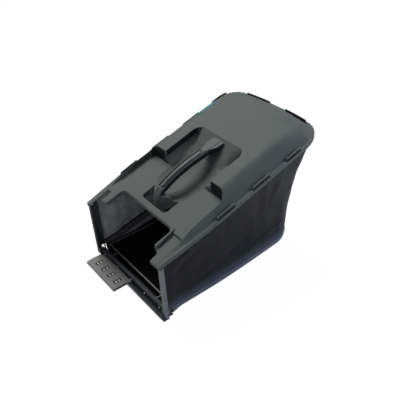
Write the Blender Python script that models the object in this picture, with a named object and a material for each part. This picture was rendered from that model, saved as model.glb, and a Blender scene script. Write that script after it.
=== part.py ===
"""Grass catcher of a walk-behind lawn mower: moulded cover, wire-stiffened cloth bag and mouth frame.

Metres, +Z up. The mouth faces -Y, X is the width. Heights on the cover are written as w, measured
upwards from the rim plane, which climbs towards the rear.
"""
import math

import bmesh
import bpy
from mathutils import Vector

# Whole catcher
BASE_WIDTH = 0.380
FRONT_HEIGHT = 0.198
COVER_SLOPE = math.tan(math.radians(17.0))
GAP = 0.0003

# Cover outline and section
RIM_FRONT = -0.004
RIM_REAR = 0.582
RIM_HALF_FRONT = BASE_WIDTH / 2 - 0.002
RIM_HALF = BASE_WIDTH / 2 + 0.0105
RIM_FLARE_LENGTH = 0.22
RIM_CORNER = 0.070
RIM_BOW = 0.006
COVER_WALL = 0.0025
CUT_LOW = -0.03
CUT_TOP = 0.08
SKIRT_DEPTH = 0.012
LAND_WIDTH = 0.009
ROLL_WIDTH = 0.050
DECK_HEIGHT = 0.0046
HUMP_HEIGHT = 0.042
RAIL_START = 0.055
RAIL_LENGTH = 0.065

# Deck in front of the hump
DECK_HALF = BASE_WIDTH / 2 - 0.017
DECK_REAR = 0.236
DECK_CORNER = 0.026

# Hand recess in the hump
RECESS_HALF = 0.105
RECESS_REAR = 0.368
RECESS_CORNER = 0.030
RAMP_LENGTH = 0.068
RAMP_HALF = 0.066
RAMP_SWEEP = 0.060
RECESS_SIDE_RISE = 0.010
RECESS_STEP = 0.0005

# Bowl under the handle, and the vent in front of it
BOWL_CENTRE = 0.228
BOWL_HALF_WIDTH = 0.081
BOWL_HALF_LENGTH = 0.074
BOWL_DEPTH = 0.013
BOWL_SQUARENESS = 3.0
VENT_FRONT = 0.112
VENT_HALF = 0.057
VENT_SIDE = 0.015
NOSE_FRONT = 0.126
NOSE_SWEEP = 0.039
NOSE_HEIGHT = 0.020
NOSE_SEAT_HALF = 0.017
NOSE_DEPTH = 0.052
NOSE_LEAN = 0.2

# Mouth cut-out, lip and arm pockets
MOUTH_HALF = BASE_WIDTH / 2 - 0.067
MOUTH_REAR = 0.091
MOUTH_CORNER = 0.016
LIP_WIDTH = 0.0095
LIP_HEIGHT = 0.003
LIP_FRONT = 0.027
ARM_HALF_INNER = BASE_WIDTH / 2 - 0.042
POCKET_DROP = 0.006
POCKET_REAR = 0.086
NOTCH_REAR = 0.065
POCKET_SIDE = BASE_WIDTH / 2 - 0.018
LEFT_NOTCH_INNER = BASE_WIDTH / 2 - 0.038
LEFT_STRIP = BASE_WIDTH / 2 - 0.022

# Clips and their slots: side or rear, start and end along that edge
CLIP_PLACES = {
    "bag_clip_left_1": ("left", 0.123, 0.185),
    "bag_clip_left_2": ("left", 0.244, 0.309),
    "bag_clip_left_3": ("left", 0.368, 0.431),
    "bag_clip_left_4": ("left", 0.488, 0.546),
    "bag_clip_rear_1": ("rear", -0.122, -0.024),
    "bag_clip_rear_2": ("rear", 0.044, 0.132),
    "bag_clip_right_1": ("right", 0.186, 0.246),
    "bag_clip_right_2": ("right", 0.311, 0.372),
    "bag_clip_right_3": ("right", 0.436, 0.489),
}
CLIP_THICKNESS = 0.0022
CLIP_PROUD = 0.009
CLIP_DROP = 0.010
SLOT_WIDTH = 0.0052
SLOT_END_CLEARANCE = 0.0012
EDGE_STEPS = 6
SIDE_STEPS = 12

# Carry handle
GRIP_HALF = 0.0155
GRIP_DEPTH = 0.017
GRIP_EDGE_DROP = 0.002
GROOVE_INNER = 0.0062
GROOVE_OUTER = 0.0108
GROOVE_DEPTH = 0.004
INSERT_RISE = 0.0012
BEAM_HALF = 0.0245
BEAM_START = 0.306
HANDLE_FRONT = 0.127
HANDLE_CREST = 0.225
HANDLE_REAR = 0.357
HANDLE_TOE_HEIGHT = 0.0266
HANDLE_CREST_HEIGHT = 0.054
HANDLE_TAIL_HEIGHT = 0.0425
HANDLE_FRONT_RISE = [(0.0, 0.0), (0.07, 0.31), (0.15, 0.53), (0.34, 0.71), (0.52, 0.85), (0.80, 0.98), (1.0, 1.0)]
HANDLE_REAR_FALL = [(0.0, 0.0), (0.2, 0.04), (0.62, 0.44), (0.85, 0.76), (1.0, 1.0)]

# Mouth frame
POST_WIDTH = 0.013
POST_DEPTH = 0.024
POST_FACE_DEPTH = 0.010
POST_WALL = 0.0025
POST_WINDOW_LOW = 0.012
POST_WINDOW_HIGH = 0.030
SILL_FLANGE_DEPTH = 0.028
SILL_FLANGE = 0.0024
SILL_WEB_FRONT = 0.006
SILL_WEB = 0.0024
SILL_HEIGHT = 0.022
SILL_LIP = 0.009
SILL_APRON = 0.009
RIVET_COUNT = 5
RIVET_PITCH = 0.1935 * BASE_WIDTH
RIVET_HEIGHT = 0.0125
RIVET_HEAD = 0.0032
RIVET_SHANK = 0.0016

# Guide tab
TAB_LEFT = 0.030 - BASE_WIDTH / 2
TAB_RIGHT = 0.002
TAB_FRONT = -0.056
TAB_TOP = 0.012
TAB_PLATE = 0.0028
TAB_GROUPS = 4

# Bag
CLOTH = 0.0014
CLOTH_INSET = 0.003
BAG_FRONT = 0.010
BAG_MOUTH_INSET = 0.0065
BAG_BASE_HALF = BASE_WIDTH / 2 - 0.0125
BAG_BASE_TAPER = 0.014
BAG_BASE_REAR = 0.530
BAG_BASE_CORNER = 0.090
BAG_LEAN = 2.2
TRAY_HEIGHT = 0.024
TRAY_FLOOR = 0.0018
TRAY_FRONT = 0.0285

BATTEN_WIDTH = 0.012
BATTEN_THICKNESS = 0.0018
BATTEN_END = 0.008

# Wire frame in the bottom of the bag
WIRE_RADIUS = 0.003
WIRE_FRONT = 0.037
WIRE_HEIGHT = 0.020
WIRE_CLEARANCE = 0.0015
STAY_HALF = 0.119
STAY_RADIUS = 0.0022

# Coloured strip on the left edge
STRIP_START = 0.440
STRIP_END = 0.484
STRIP_THICKNESS = 0.0008

# The origin lies under the middle of the catcher's length
ORIGIN_Y = (TAB_FRONT + RIM_REAR + RIM_BOW) / 2


def clear_scene():
    for item in list(bpy.data.objects):
        bpy.data.objects.remove(item, do_unlink=True)


def make_material(name, colour, roughness, metallic=0.0):
    material = bpy.data.materials.new(name)
    material.use_nodes = True
    shader = material.node_tree.nodes["Principled BSDF"]
    shader.inputs["Base Color"].default_value = (*colour, 1.0)
    shader.inputs["Roughness"].default_value = roughness
    shader.inputs["Metallic"].default_value = metallic
    return material


def add_mesh(name, points, faces, material=None):
    mesh = bpy.data.meshes.new(name)
    mesh.from_pydata([tuple(point) for point in points], [], faces)
    turned = bmesh.new()
    turned.from_mesh(mesh)
    bmesh.ops.recalc_face_normals(turned, faces=turned.faces)
    turned.to_mesh(mesh)
    turned.free()
    body = bpy.data.objects.new(name, mesh)
    bpy.context.scene.collection.objects.link(body)
    if material:
        mesh.materials.append(material)
    return body


def combine(body, tool, operation):
    """Apply one exact Boolean of tool to body and delete the tool."""
    flat = bmesh.new()
    flat.from_mesh(tool.data)
    bmesh.ops.triangulate(flat, faces=flat.faces)
    flat.to_mesh(tool.data)
    flat.free()
    modifier = body.modifiers.new("combine", "BOOLEAN")
    modifier.operation = operation
    modifier.solver = "EXACT"
    modifier.object = tool
    bpy.context.view_layer.update()
    graph = bpy.context.evaluated_depsgraph_get()
    mesh = bpy.data.meshes.new_from_object(body.evaluated_get(graph))
    body.modifiers.remove(modifier)
    body.data = mesh
    bpy.data.objects.remove(tool, do_unlink=True)
    return body


def loft(name, sections, material=None):
    """Skin closed sections of equal count and cap both ends."""
    count = len(sections[0])
    points = [point for section in sections for point in section]
    faces = [tuple(reversed(range(count)))]
    for row in range(len(sections) - 1):
        for column in range(count):
            following = (column + 1) % count
            low = row * count
            high = low + count
            faces.append((low + column, low + following, high + following, high + column))
    last = (len(sections) - 1) * count
    faces.append(tuple(range(last, last + count)))
    return add_mesh(name, points, faces, material)


def prism(name, outline, low, high, material=None):
    """Extrude an anticlockwise outline between two levels, each a number or a function of x and y."""
    def level(value, x, y):
        return value(x, y) if callable(value) else value
    floor = [Vector((x, y, level(low, x, y))) for x, y in outline]
    roof = [Vector((x, y, level(high, x, y))) for x, y in outline]
    return loft(name, [floor, roof], material)


def block(name, low, high, material=None):
    outline = [(low[0], low[1]), (high[0], low[1]), (high[0], high[1]), (low[0], high[1])]
    return prism(name, outline, low[2], high[2], material)


def smooth_step(value):
    value = min(1.0, max(0.0, value))
    return value * value * (3.0 - 2.0 * value)


def mix(first, second, share):
    return first + (second - first) * share


def arc(centre, radius, start, end, steps):
    """Points of an arc, angles in degrees, both ends included."""
    points = []
    for step in range(steps + 1):
        angle = math.radians(mix(start, end, step / steps))
        points.append((centre[0] + radius * math.cos(angle), centre[1] + radius * math.sin(angle)))
    return points


def lift(x, y, w):
    """A point of the cover at height w above the sloping rim plane."""
    return Vector((x, y, FRONT_HEIGHT + COVER_SLOPE * y + w))


def tilt_to_cover(body):
    for vertex in body.data.vertices:
        vertex.co.z += FRONT_HEIGHT + COVER_SLOPE * vertex.co.y
    return body


# Outline of the cover


def rim_half(y):
    """Half width of the rim at y, with the rounded rear corner."""
    share = smooth_step(0.5 + (y - RIM_FRONT) / (2.0 * RIM_FLARE_LENGTH)) * 2.0 - 1.0
    half = mix(RIM_HALF_FRONT, RIM_HALF, share)
    corner_y = RIM_REAR - RIM_CORNER
    if y > corner_y:
        depth = min(y - corner_y, RIM_CORNER)
        half -= RIM_CORNER - math.sqrt(RIM_CORNER ** 2 - depth ** 2)
    return half


def rim_rear(x):
    """Rear edge of the rim at x, bowed between its rounded corners."""
    straight = RIM_HALF - RIM_CORNER
    if abs(x) < straight:
        return RIM_REAR + RIM_BOW * (1.0 - (x / straight) ** 2)
    depth = min(abs(x) - straight, RIM_CORNER)
    return RIM_REAR - RIM_CORNER + math.sqrt(RIM_CORNER ** 2 - depth ** 2)


def right_half_path(front, rear, half_at, corner, bow, side_steps, corner_steps, rear_steps):
    """Points from the front right round to the middle of the rear edge."""
    corner_y = rear - corner
    points = []
    for step in range(side_steps):
        y = mix(front, corner_y, (step / side_steps) ** 1.35)
        points.append((half_at(y), y))
    straight = half_at(corner_y) - corner
    points += arc((straight, corner_y), corner, 0, 90, corner_steps)
    for step in range(1, rear_steps + 1):
        x = straight * (1.0 - step / rear_steps)
        points.append((x, rear + bow * (1.0 - (x / straight) ** 2)))
    return points


def full_path(half_path):
    return half_path + [(-x, y) for x, y in reversed(half_path[:-1])]


def inset_path(path, distance):
    """Move a path inwards. Its two free ends keep their y."""
    moved = []
    for index, (x, y) in enumerate(path):
        before = path[max(index - 1, 0)]
        after = path[min(index + 1, len(path) - 1)]
        along = Vector((after[0] - before[0], after[1] - before[1])).normalized()
        inward = Vector((-along.y, along.x))
        if index in (0, len(path) - 1):
            inward = Vector((-math.copysign(1.0, x), 0.0))
        moved.append((x + inward.x * distance, y + inward.y * distance))
    return moved


def rim_path(front=RIM_FRONT):
    return full_path(right_half_path(front, RIM_REAR, rim_half, RIM_CORNER, RIM_BOW, SIDE_STEPS, 8, 3))


def roll_height(distance, y):
    """Height of the rolled shoulder at a distance in from the rim."""
    share = min(1.0, max(0.0, (distance - LAND_WIDTH) / ROLL_WIDTH))
    full = HUMP_HEIGHT * math.sin(math.pi / 2 * share)
    low = DECK_HEIGHT * smooth_step((distance - LAND_WIDTH) / (RIM_HALF - DECK_HALF - LAND_WIDTH))
    if distance > RIM_HALF - DECK_HALF + COVER_WALL:
        return full
    return mix(low, full, smooth_step((y - RAIL_START) / RAIL_LENGTH))


# Cover


def shoulder_body(shell):
    """Solid of the cover's outer form, or of its inner side when shell is the wall."""
    path = rim_path(RIM_FRONT + shell)
    depth = SKIRT_DEPTH + (0.004 if shell else 0.0)
    distances = [0.0, LAND_WIDTH]
    steps = 8
    distances += [LAND_WIDTH + ROLL_WIDTH * (step + 1) / steps for step in range(steps)]
    rings = [[Vector((x, y, -depth)) for x, y in inset_path(path, shell)]]
    for distance in distances:
        moved = inset_path(path, distance + shell)
        ring = []
        for (x, y), (_, path_y) in zip(moved, path):
            ring.append(Vector((x, y, roll_height(distance, path_y) - shell)))
        rings.append(ring)
    count = len(path)
    points = [point for ring in rings for point in ring]
    faces = [tuple(reversed(range(count)))]
    for row in range(len(rings) - 1):
        for column in range(count - 1):
            low = row * count + column
            faces.append((low, low + 1, low + count + 1, low + count))
    last = (len(rings) - 1) * count
    faces.append(tuple(range(last, last + count)))
    right_ends = [row * count for row in range(len(rings))]
    left_ends = [row * count + count - 1 for row in reversed(range(len(rings)))]
    faces.append(tuple(reversed(left_ends + right_ends)))
    return add_mesh("shoulder", points, [tuple(face) for face in faces])


def deck_outline(grow):
    half = DECK_HALF + grow
    rear = DECK_REAR + grow
    corner = DECK_CORNER + grow
    front = RIM_FRONT - 0.05
    right = arc((half - corner, rear - corner), corner, 0, 90, 7)
    left = arc((corner - half, rear - corner), corner, 90, 180, 7)
    return [(half, front)] + right + left + [(-half, front)]


def recess_floor(x, y):
    """Height of the recess floor: level in the middle, rising to its sides and up the rear ramp.

    The ramp's foot runs across the middle and sweeps back towards both rear corners.
    """
    side = max(0.0, (abs(x) - 0.4 * RECESS_HALF) / (0.6 * RECESS_HALF))
    rise = RECESS_SIDE_RISE * min(side, 1.0) ** 1.5
    swept = max(0.0, (abs(x) - RAMP_HALF) / (RECESS_HALF - RAMP_HALF))
    foot = RECESS_REAR - RAMP_LENGTH + RAMP_SWEEP * min(swept, 1.0)
    ramp = max(0.0, (y - foot) / (RECESS_REAR - foot))
    height = DECK_HEIGHT + RECESS_STEP + rise
    return max(height, mix(DECK_HEIGHT + RECESS_STEP, HUMP_HEIGHT + 0.0005, ramp))


def recess_body(grow):
    """Solid that cuts the hand recess: sections along Y with the shaped floor."""
    foot = RECESS_REAR - RAMP_LENGTH
    corner_y = RECESS_REAR - RECESS_CORNER
    stations = [DECK_REAR - 0.012, DECK_REAR + 0.002, mix(DECK_REAR, foot, 0.4), foot - 0.006, foot]
    stations += [mix(foot, corner_y, share) for share in (0.25, 0.5, 0.75, 1.0)]
    corner_steps = 6
    for step in range(1, corner_steps + 1):
        stations.append(corner_y + RECESS_CORNER * math.sin(math.radians(82.0 * step / corner_steps)))
    right = [0.4, 0.56, 0.68, 0.80, 0.90, 1.0]
    shares = [-share for share in reversed(right)] + [0.0] + right
    sections = []
    for y in stations:
        half = RECESS_HALF
        if y > corner_y:
            half -= RECESS_CORNER - math.sqrt(RECESS_CORNER ** 2 - (y - corner_y) ** 2)
        half += grow
        place = y + grow * max(0.0, (y - DECK_REAR) / (RECESS_REAR - DECK_REAR))
        section = [Vector((half * item, place, recess_floor(half * item, y) - grow)) for item in shares]
        section += [Vector((half, place, CUT_TOP)), Vector((-half, place, CUT_TOP))]
        sections.append(list(reversed(section)))
    return loft("recess", sections)


def nose_line(x, grow=0.0):
    """Y of the nose's front face at x."""
    share = min(abs(x) / VENT_HALF, 1.0)
    return NOSE_FRONT + NOSE_SWEEP * share ** 1.6 + grow


def nose_height(x):
    if abs(x) <= NOSE_SEAT_HALF:
        return NOSE_HEIGHT
    share = (abs(x) - NOSE_SEAT_HALF) / (VENT_HALF - NOSE_SEAT_HALF)
    return NOSE_HEIGHT * (1.0 - min(share, 1.0) ** 2)


def nose_body(shell):
    """Raised nose that carries the handle's front foot."""
    half = VENT_HALF - shell
    steps = 14
    sections = []
    for step in range(steps + 1):
        x = mix(-half, half, step / steps)
        top = DECK_HEIGHT + nose_height(x) - shell
        top = max(top, DECK_HEIGHT - shell - 0.001)
        front = VENT_FRONT + 0.002
        rear = NOSE_FRONT + NOSE_DEPTH
        sections.append([Vector((x, front, -0.004)), Vector((x, front, top)),
                         Vector((x, rear, top)), Vector((x, rear, -0.004))])
    return loft("nose", [list(reversed(section)) for section in sections])


def vent_body(grow):
    """D-shaped well between the deck and the nose."""
    half = VENT_HALF + grow
    front = VENT_FRONT - grow
    corner = 0.012
    outline = arc((corner - half, front + corner), corner, 180, 270, 4)
    outline += arc((half - corner, front + corner), corner, 270, 360, 4)
    steps = 16
    for step in range(steps + 1):
        x = mix(VENT_HALF, -VENT_HALF, step / steps)
        slope = NOSE_SWEEP * 1.6 / VENT_HALF * (abs(x) / VENT_HALF) ** 0.6
        length = math.hypot(1.0, slope)
        outline.append((x + math.copysign(grow * slope / length, -x) * (1 if abs(x) > 1e-6 else 0),
                        nose_line(x) + grow / length))
    sections = []
    for level in (CUT_LOW, CUT_TOP):
        shift = NOSE_LEAN * (level - DECK_HEIGHT - NOSE_HEIGHT)
        sections.append([Vector((x, y + (shift if index > 9 else 0.0), level))
                         for index, (x, y) in enumerate(outline)])
    return loft("vent", sections)


def bowl_body(grow):
    """Dish under the grip: rounded-square rings that sink towards the middle."""
    shares = [0.22, 0.42, 0.58, 0.72, 0.84, 0.94, 1.02, 1.10]
    segments = 32
    power = 2.0 / BOWL_SQUARENESS
    rings = []
    for share in shares:
        level = DECK_HEIGHT - BOWL_DEPTH * (1.0 - share ** 2.4) - grow
        rings.append((share, level))
    rings.append((shares[-1], CUT_TOP))
    points = [Vector((0.0, BOWL_CENTRE, DECK_HEIGHT - BOWL_DEPTH - grow))]
    for share, level in rings:
        for segment in range(segments):
            turn = 2.0 * math.pi * (segment + 0.5) / segments
            across = math.copysign(abs(math.cos(turn)) ** power, math.cos(turn))
            along = math.copysign(abs(math.sin(turn)) ** power, math.sin(turn))
            points.append(Vector(((BOWL_HALF_WIDTH + grow) * share * across,
                                  BOWL_CENTRE + (BOWL_HALF_LENGTH + grow) * share * along, level)))
    faces = []
    last = 1 + (len(rings) - 1) * segments
    for segment in range(segments):
        following = (segment + 1) % segments
        faces.append((0, 1 + following, 1 + segment))
        for ring in range(len(rings) - 1):
            low = 1 + ring * segments
            high = low + segments
            faces.append((low + segment, low + following, high + following, high + segment))
    faces.append(tuple(range(last, last + segments)))
    return add_mesh("bowl", points, faces)


def arm_pocket(grow):
    """Lowered panel on the right arm, from the mouth to the shoulder."""
    inner = MOUTH_HALF - 0.006 - grow
    outer = POCKET_SIDE + grow
    floor = DECK_HEIGHT - POCKET_DROP - grow
    return block("pocket", (inner, RIM_FRONT - 0.03, floor), (outer, POCKET_REAR + grow, CUT_TOP))


def cover_form(shell):
    form = shoulder_body(shell)
    combine(form, prism("deck", deck_outline(shell), DECK_HEIGHT - shell, CUT_TOP), "DIFFERENCE")
    combine(form, recess_body(shell), "DIFFERENCE")
    combine(form, nose_body(shell), "UNION")
    combine(form, bowl_body(shell), "DIFFERENCE")
    combine(form, vent_body(shell), "DIFFERENCE")
    combine(form, arm_pocket(shell), "DIFFERENCE")
    return form


def mouth_outline(grow, corner):
    """Rear part of the mouth, from the right arm round to the left arm."""
    half = MOUTH_HALF + grow
    rear = MOUTH_REAR + grow
    right = arc((half - corner, rear - corner), corner, 0, 90, 6)
    left = arc((corner - half, rear - corner), corner, 90, 180, 6)
    return right + left


def mouth_cutter():
    front = RIM_FRONT - 0.04
    outline = [(ARM_HALF_INNER, front), (ARM_HALF_INNER, 0.0), (ARM_HALF_INNER - 0.003, LIP_FRONT - 0.005)]
    outline += [(MOUTH_HALF + 0.004, LIP_FRONT), (MOUTH_HALF, LIP_FRONT + 0.004)]
    outline += mouth_outline(0.0, MOUTH_CORNER)
    outline += [(-MOUTH_HALF, LIP_FRONT + 0.004), (-MOUTH_HALF - 0.004, LIP_FRONT)]
    outline += [(-LEFT_NOTCH_INNER, LIP_FRONT), (-LEFT_NOTCH_INNER, NOTCH_REAR - 0.003)]
    outline += [(-LEFT_STRIP, NOTCH_REAR - 0.001), (-LEFT_STRIP, front)]
    return prism("mouth", outline, -0.06, 0.08)


def lip_body(shell):
    """Raised lip round the mouth, or the hollow under it."""
    width = LIP_WIDTH - shell
    front = LIP_FRONT + 0.0005 + shell
    low = DECK_HEIGHT - POCKET_DROP - COVER_WALL + 0.0008
    if shell:
        low -= 0.010
    outline = [(MOUTH_HALF + width, front)] + mouth_outline(width, MOUTH_CORNER + width)
    outline += [(-MOUTH_HALF - width, front)]
    lip = prism("lip", outline, low, DECK_HEIGHT + LIP_HEIGHT - shell)
    if shell:
        core = [(MOUTH_HALF + shell, front - 0.01)] + mouth_outline(shell, MOUTH_CORNER + shell)
        core += [(-MOUTH_HALF - shell, front - 0.01)]
        combine(lip, prism("core", core, low - 0.01, DECK_HEIGHT + LIP_HEIGHT), "DIFFERENCE")
    return lip


def rim_station(side, place):
    """Where a place on one edge falls on the rim path: the segment's index and the share along it."""
    path = rim_path(BAG_FRONT + GAP)
    for index, (start, end) in enumerate(zip(path, path[1:])):
        if side == "rear":
            inside = start[1] > RIM_REAR - RIM_CORNER and end[0] <= place <= start[0]
            first, last = start[0], end[0]
        else:
            right = side == "right"
            on_side = (start[0] + end[0] > 0) == right
            low, high = sorted((start[1], end[1]))
            inside = on_side and low <= place <= high
            first, last = start[1], end[1]
        if inside and first != last:
            return index, (place - first) / (last - first)
    raise ValueError(f"no place {place} on the {side} edge")


def edge_point(station, distance):
    """A point at a distance in from the rim."""
    index, share = station
    path = inset_path(rim_path(BAG_FRONT + GAP), distance)
    start, end = Vector(path[index]), Vector(path[index + 1])
    return start.lerp(end, share)


def sweep_edge(name, side, start, end, profile, material=None):
    """Sweep a closed profile of (distance in, height w) along part of the rim."""
    sections = []
    for step in range(EDGE_STEPS + 1):
        station = rim_station(side, mix(start, end, step / EDGE_STEPS))
        section = []
        for distance, w in profile:
            point = edge_point(station, distance)
            section.append(lift(point.x, point.y, w))
        sections.append(section)
    return loft(name, sections, material)


def slot_profile():
    start = COVER_WALL + 2 * GAP
    end = start + SLOT_WIDTH
    low = -COVER_WALL - 0.0035
    high = 0.010
    return [(start, low), (end, low), (end, high), (start, high)]


def make_cover(material):
    cover = cover_form(0.0)
    combine(cover, cover_form(COVER_WALL), "DIFFERENCE")
    combine(cover, lip_body(0.0), "UNION")
    combine(cover, lip_body(COVER_WALL), "DIFFERENCE")
    combine(cover, mouth_cutter(), "DIFFERENCE")
    tilt_to_cover(cover)
    profile = slot_profile()
    for side, start, end in CLIP_PLACES.values():
        cutter = sweep_edge("slot", side, start - SLOT_END_CLEARANCE, end + SLOT_END_CLEARANCE, profile)
        combine(cover, cutter, "DIFFERENCE")
    cover.name = "top_cover"
    cover.data.materials.clear()
    cover.data.materials.append(material)
    return cover


# Carry handle


def profile_at(knots, share):
    """Value of a broken line of (share, value) knots."""
    for (low, first), (high, last) in zip(knots, knots[1:]):
        if share <= high:
            return mix(first, last, (share - low) / (high - low))
    return knots[-1][1]


def handle_top(y):
    """Height of the handle's top above the rim plane."""
    if y < HANDLE_CREST:
        share = (y - HANDLE_FRONT) / (HANDLE_CREST - HANDLE_FRONT)
        return mix(HANDLE_TOE_HEIGHT, HANDLE_CREST_HEIGHT, profile_at(HANDLE_FRONT_RISE, share))
    share = (y - HANDLE_CREST) / (HANDLE_REAR - HANDLE_CREST)
    return mix(HANDLE_CREST_HEIGHT, HANDLE_TAIL_HEIGHT, profile_at(HANDLE_REAR_FALL, share))


def grip_front():
    return HANDLE_FRONT + 0.014


def grip_rear():
    """Where the grooves end and the beam begins."""
    return BEAM_START - 0.018


def handle_bottom(y):
    """Height of the handle's underside: on the nose in front, along the ramp at the rear."""
    seat = DECK_HEIGHT + NOSE_HEIGHT + GAP
    seat_end = NOSE_FRONT + 0.014
    under_grip = handle_top(y) - GRIP_DEPTH
    if y < seat_end:
        return seat
    if y < seat_end + 0.024:
        return mix(seat, under_grip, smooth_step((y - seat_end) / 0.024))
    return max(under_grip, recess_floor(0.0, y) + GAP)


def handle_half(y):
    widen = smooth_step((y - BEAM_START) / 0.026)
    return mix(GRIP_HALF, BEAM_HALF, widen)


def handle_section(y):
    """Cross-section of the handle with its two grooves, flat where the grooves have run out."""
    top = handle_top(y)
    bottom = handle_bottom(y)
    half = handle_half(y)
    run_in = smooth_step((y - grip_front()) / 0.004)
    run_out = 1.0 - smooth_step((y - grip_rear()) / 0.006)
    deep = GROOVE_DEPTH * min(run_in, run_out)
    floor = top - deep
    edge = top - GRIP_EDGE_DROP
    side = min(0.003, (top - bottom) / 3)
    right = [(GROOVE_INNER - 0.0003, floor), (GROOVE_INNER, floor - 0.0001), (GROOVE_OUTER, floor - 0.0001),
             (GROOVE_OUTER + 0.0002, min(edge + 0.0008, top)), (half - 0.002, edge), (half, edge - side)]
    right += [(half, bottom + side / 2), (half - 0.002, bottom)]
    section = [(0.0, floor)] + right
    section += [(-x, w) for x, w in reversed(right)]
    return [lift(x, y, w) for x, w in section]


def stations_between(start, end, count):
    return [mix(start, end, step / count) for step in range(count + 1)]


def make_handle(material):
    """Arched grip with its flat rear beam; stations are closer where the shape changes."""
    front = grip_front()
    rear = grip_rear()
    places = stations_between(HANDLE_FRONT, front, 4)
    places += stations_between(front + 0.004, rear, 11)
    places += stations_between(rear + 0.006, BEAM_START + 0.026, 5)
    places += stations_between(BEAM_START + 0.034, HANDLE_REAR, 3)
    return loft("carry_handle", [handle_section(y) for y in places], material)


def make_insert(material):
    """Rib let into the top of the grip, between the two grooves."""
    places = stations_between(grip_front() + 0.0045, grip_rear() - 0.002, 11)
    sections = []
    for y in places:
        top = handle_top(y)
        floor = top - GROOVE_DEPTH + GAP
        half = GROOVE_INNER - 0.0012
        crown = top + INSERT_RISE
        section = [(half, floor), (half, crown - 0.0012), (half - 0.0012, crown), (0.0, crown + 0.0002)]
        section += [(0.0012 - half, crown), (-half, crown - 0.0012), (-half, floor)]
        sections.append([lift(x, y, w) for x, w in reversed(section)])
    return loft("grip_insert", sections, material)


# Mouth frame


def cover_underside(y):
    return FRONT_HEIGHT + COVER_SLOPE * y - SKIRT_DEPTH - GAP


def make_post(name, side, material):
    """Upright of the mouth: a channel in front with a deeper flange on its inner side."""
    outer = side * BASE_WIDTH / 2
    inner = outer - side * POST_WIDTH
    wall = side * POST_WALL
    outline = [(inner, 0.0), (outer, 0.0), (outer, POST_FACE_DEPTH), (outer - wall, POST_FACE_DEPTH),
               (outer - wall, POST_WALL), (inner + wall, POST_WALL), (inner + wall, POST_DEPTH),
               (inner, POST_DEPTH)]
    if side < 0:
        outline.reverse()
    def top(x, y):
        return cover_underside(RIM_FRONT if y < POST_WALL / 2 else y)
    post = prism(name, outline, SILL_FLANGE + GAP, top, material)
    low, high = sorted((inner - side * 0.002, inner + side * 0.006))
    window = block("window", (low, POST_FACE_DEPTH + 0.001, POST_WINDOW_LOW),
                   (high, POST_DEPTH - 0.004, POST_WINDOW_HIGH))
    return combine(post, window, "DIFFERENCE")


def sill_outline():
    half = BASE_WIDTH / 2
    inner = half - BAG_MOUTH_INSET
    return [(half, -SILL_APRON), (half, POST_FACE_DEPTH), (inner, POST_FACE_DEPTH),
            (inner, SILL_FLANGE_DEPTH), (-inner, SILL_FLANGE_DEPTH), (-inner, POST_FACE_DEPTH),
            (-half, POST_FACE_DEPTH), (-half, 0.0), (TAB_LEFT - 0.006, 0.0), (TAB_LEFT, -SILL_APRON)]


def make_sill(material):
    """Bottom bar: flange on the ground, upright web and a lip folded back along its top."""
    flange = prism("front_sill", sill_outline(), 0.0, SILL_FLANGE)
    inner = BASE_WIDTH / 2 - POST_WIDTH - 2 * GAP
    front = SILL_WEB_FRONT
    profile = [(front, SILL_FLANGE / 2), (front + SILL_WEB, SILL_FLANGE / 2),
               (front + SILL_WEB, SILL_HEIGHT - SILL_WEB), (front + SILL_LIP, SILL_HEIGHT - SILL_WEB),
               (front + SILL_LIP, SILL_HEIGHT), (front + 0.001, SILL_HEIGHT), (front, SILL_HEIGHT - 0.001)]
    sections = [[Vector((x, y, z)) for y, z in profile] for x in (-inner, inner)]
    combine(flange, loft("web", sections), "UNION")
    for x in rivet_places():
        hole = round_bar("hole", x, RIVET_SHANK + GAP, front - 0.004, front + SILL_WEB + 0.004)
        combine(flange, hole, "DIFFERENCE")
    flange.data.materials.clear()
    flange.data.materials.append(material)
    return flange


def rivet_places():
    middle = (RIVET_COUNT - 1) / 2
    return [(index - middle) * RIVET_PITCH for index in range(RIVET_COUNT)]


def round_bar(name, x, radius, start, end, sides=10):
    sections = []
    for y in (start, end):
        ring = arc((x, RIVET_HEIGHT), radius, 0, 360.0 * (1 - 1 / sides), sides - 1)
        sections.append([Vector((px, y, pz)) for px, pz in ring])
    return loft(name, [list(reversed(section)) for section in sections])


def make_rivet(name, x, material):
    """Snap rivet through the web: a domed head, a shank and a spread tail."""
    front = SILL_WEB_FRONT - GAP
    rear = SILL_WEB_FRONT + SILL_WEB + GAP
    profile = [(front - 0.0016, RIVET_HEAD * 0.35), (front - 0.0011, RIVET_HEAD * 0.8),
               (front, RIVET_HEAD), (front + 0.00001, RIVET_SHANK), (rear, RIVET_SHANK),
               (rear + 0.00001, RIVET_SHANK * 1.5), (rear + 0.002, RIVET_SHANK * 0.7)]
    sides = 10
    sections = []
    for y, radius in profile:
        ring = arc((x, RIVET_HEIGHT), radius, 0, 360.0 * (1 - 1 / sides), sides - 1)
        sections.append([Vector((px, y, pz)) for px, pz in ring])
    return loft(name, sections, material)


def make_foot_cap(name, side, material):
    """Moulded shoe that closes the foot of a post on its inner side."""
    inner = side * (BASE_WIDTH / 2 - POST_WIDTH - GAP)
    toe = inner - side * 0.008
    low, high = sorted((inner, toe))
    outline = [(low, -0.0005), (high, -0.0005), (high, SILL_WEB_FRONT - GAP), (low, SILL_WEB_FRONT - GAP)]
    cap = prism(name, outline, SILL_FLANGE + GAP, SILL_HEIGHT + 0.004, material)
    return cap


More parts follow.
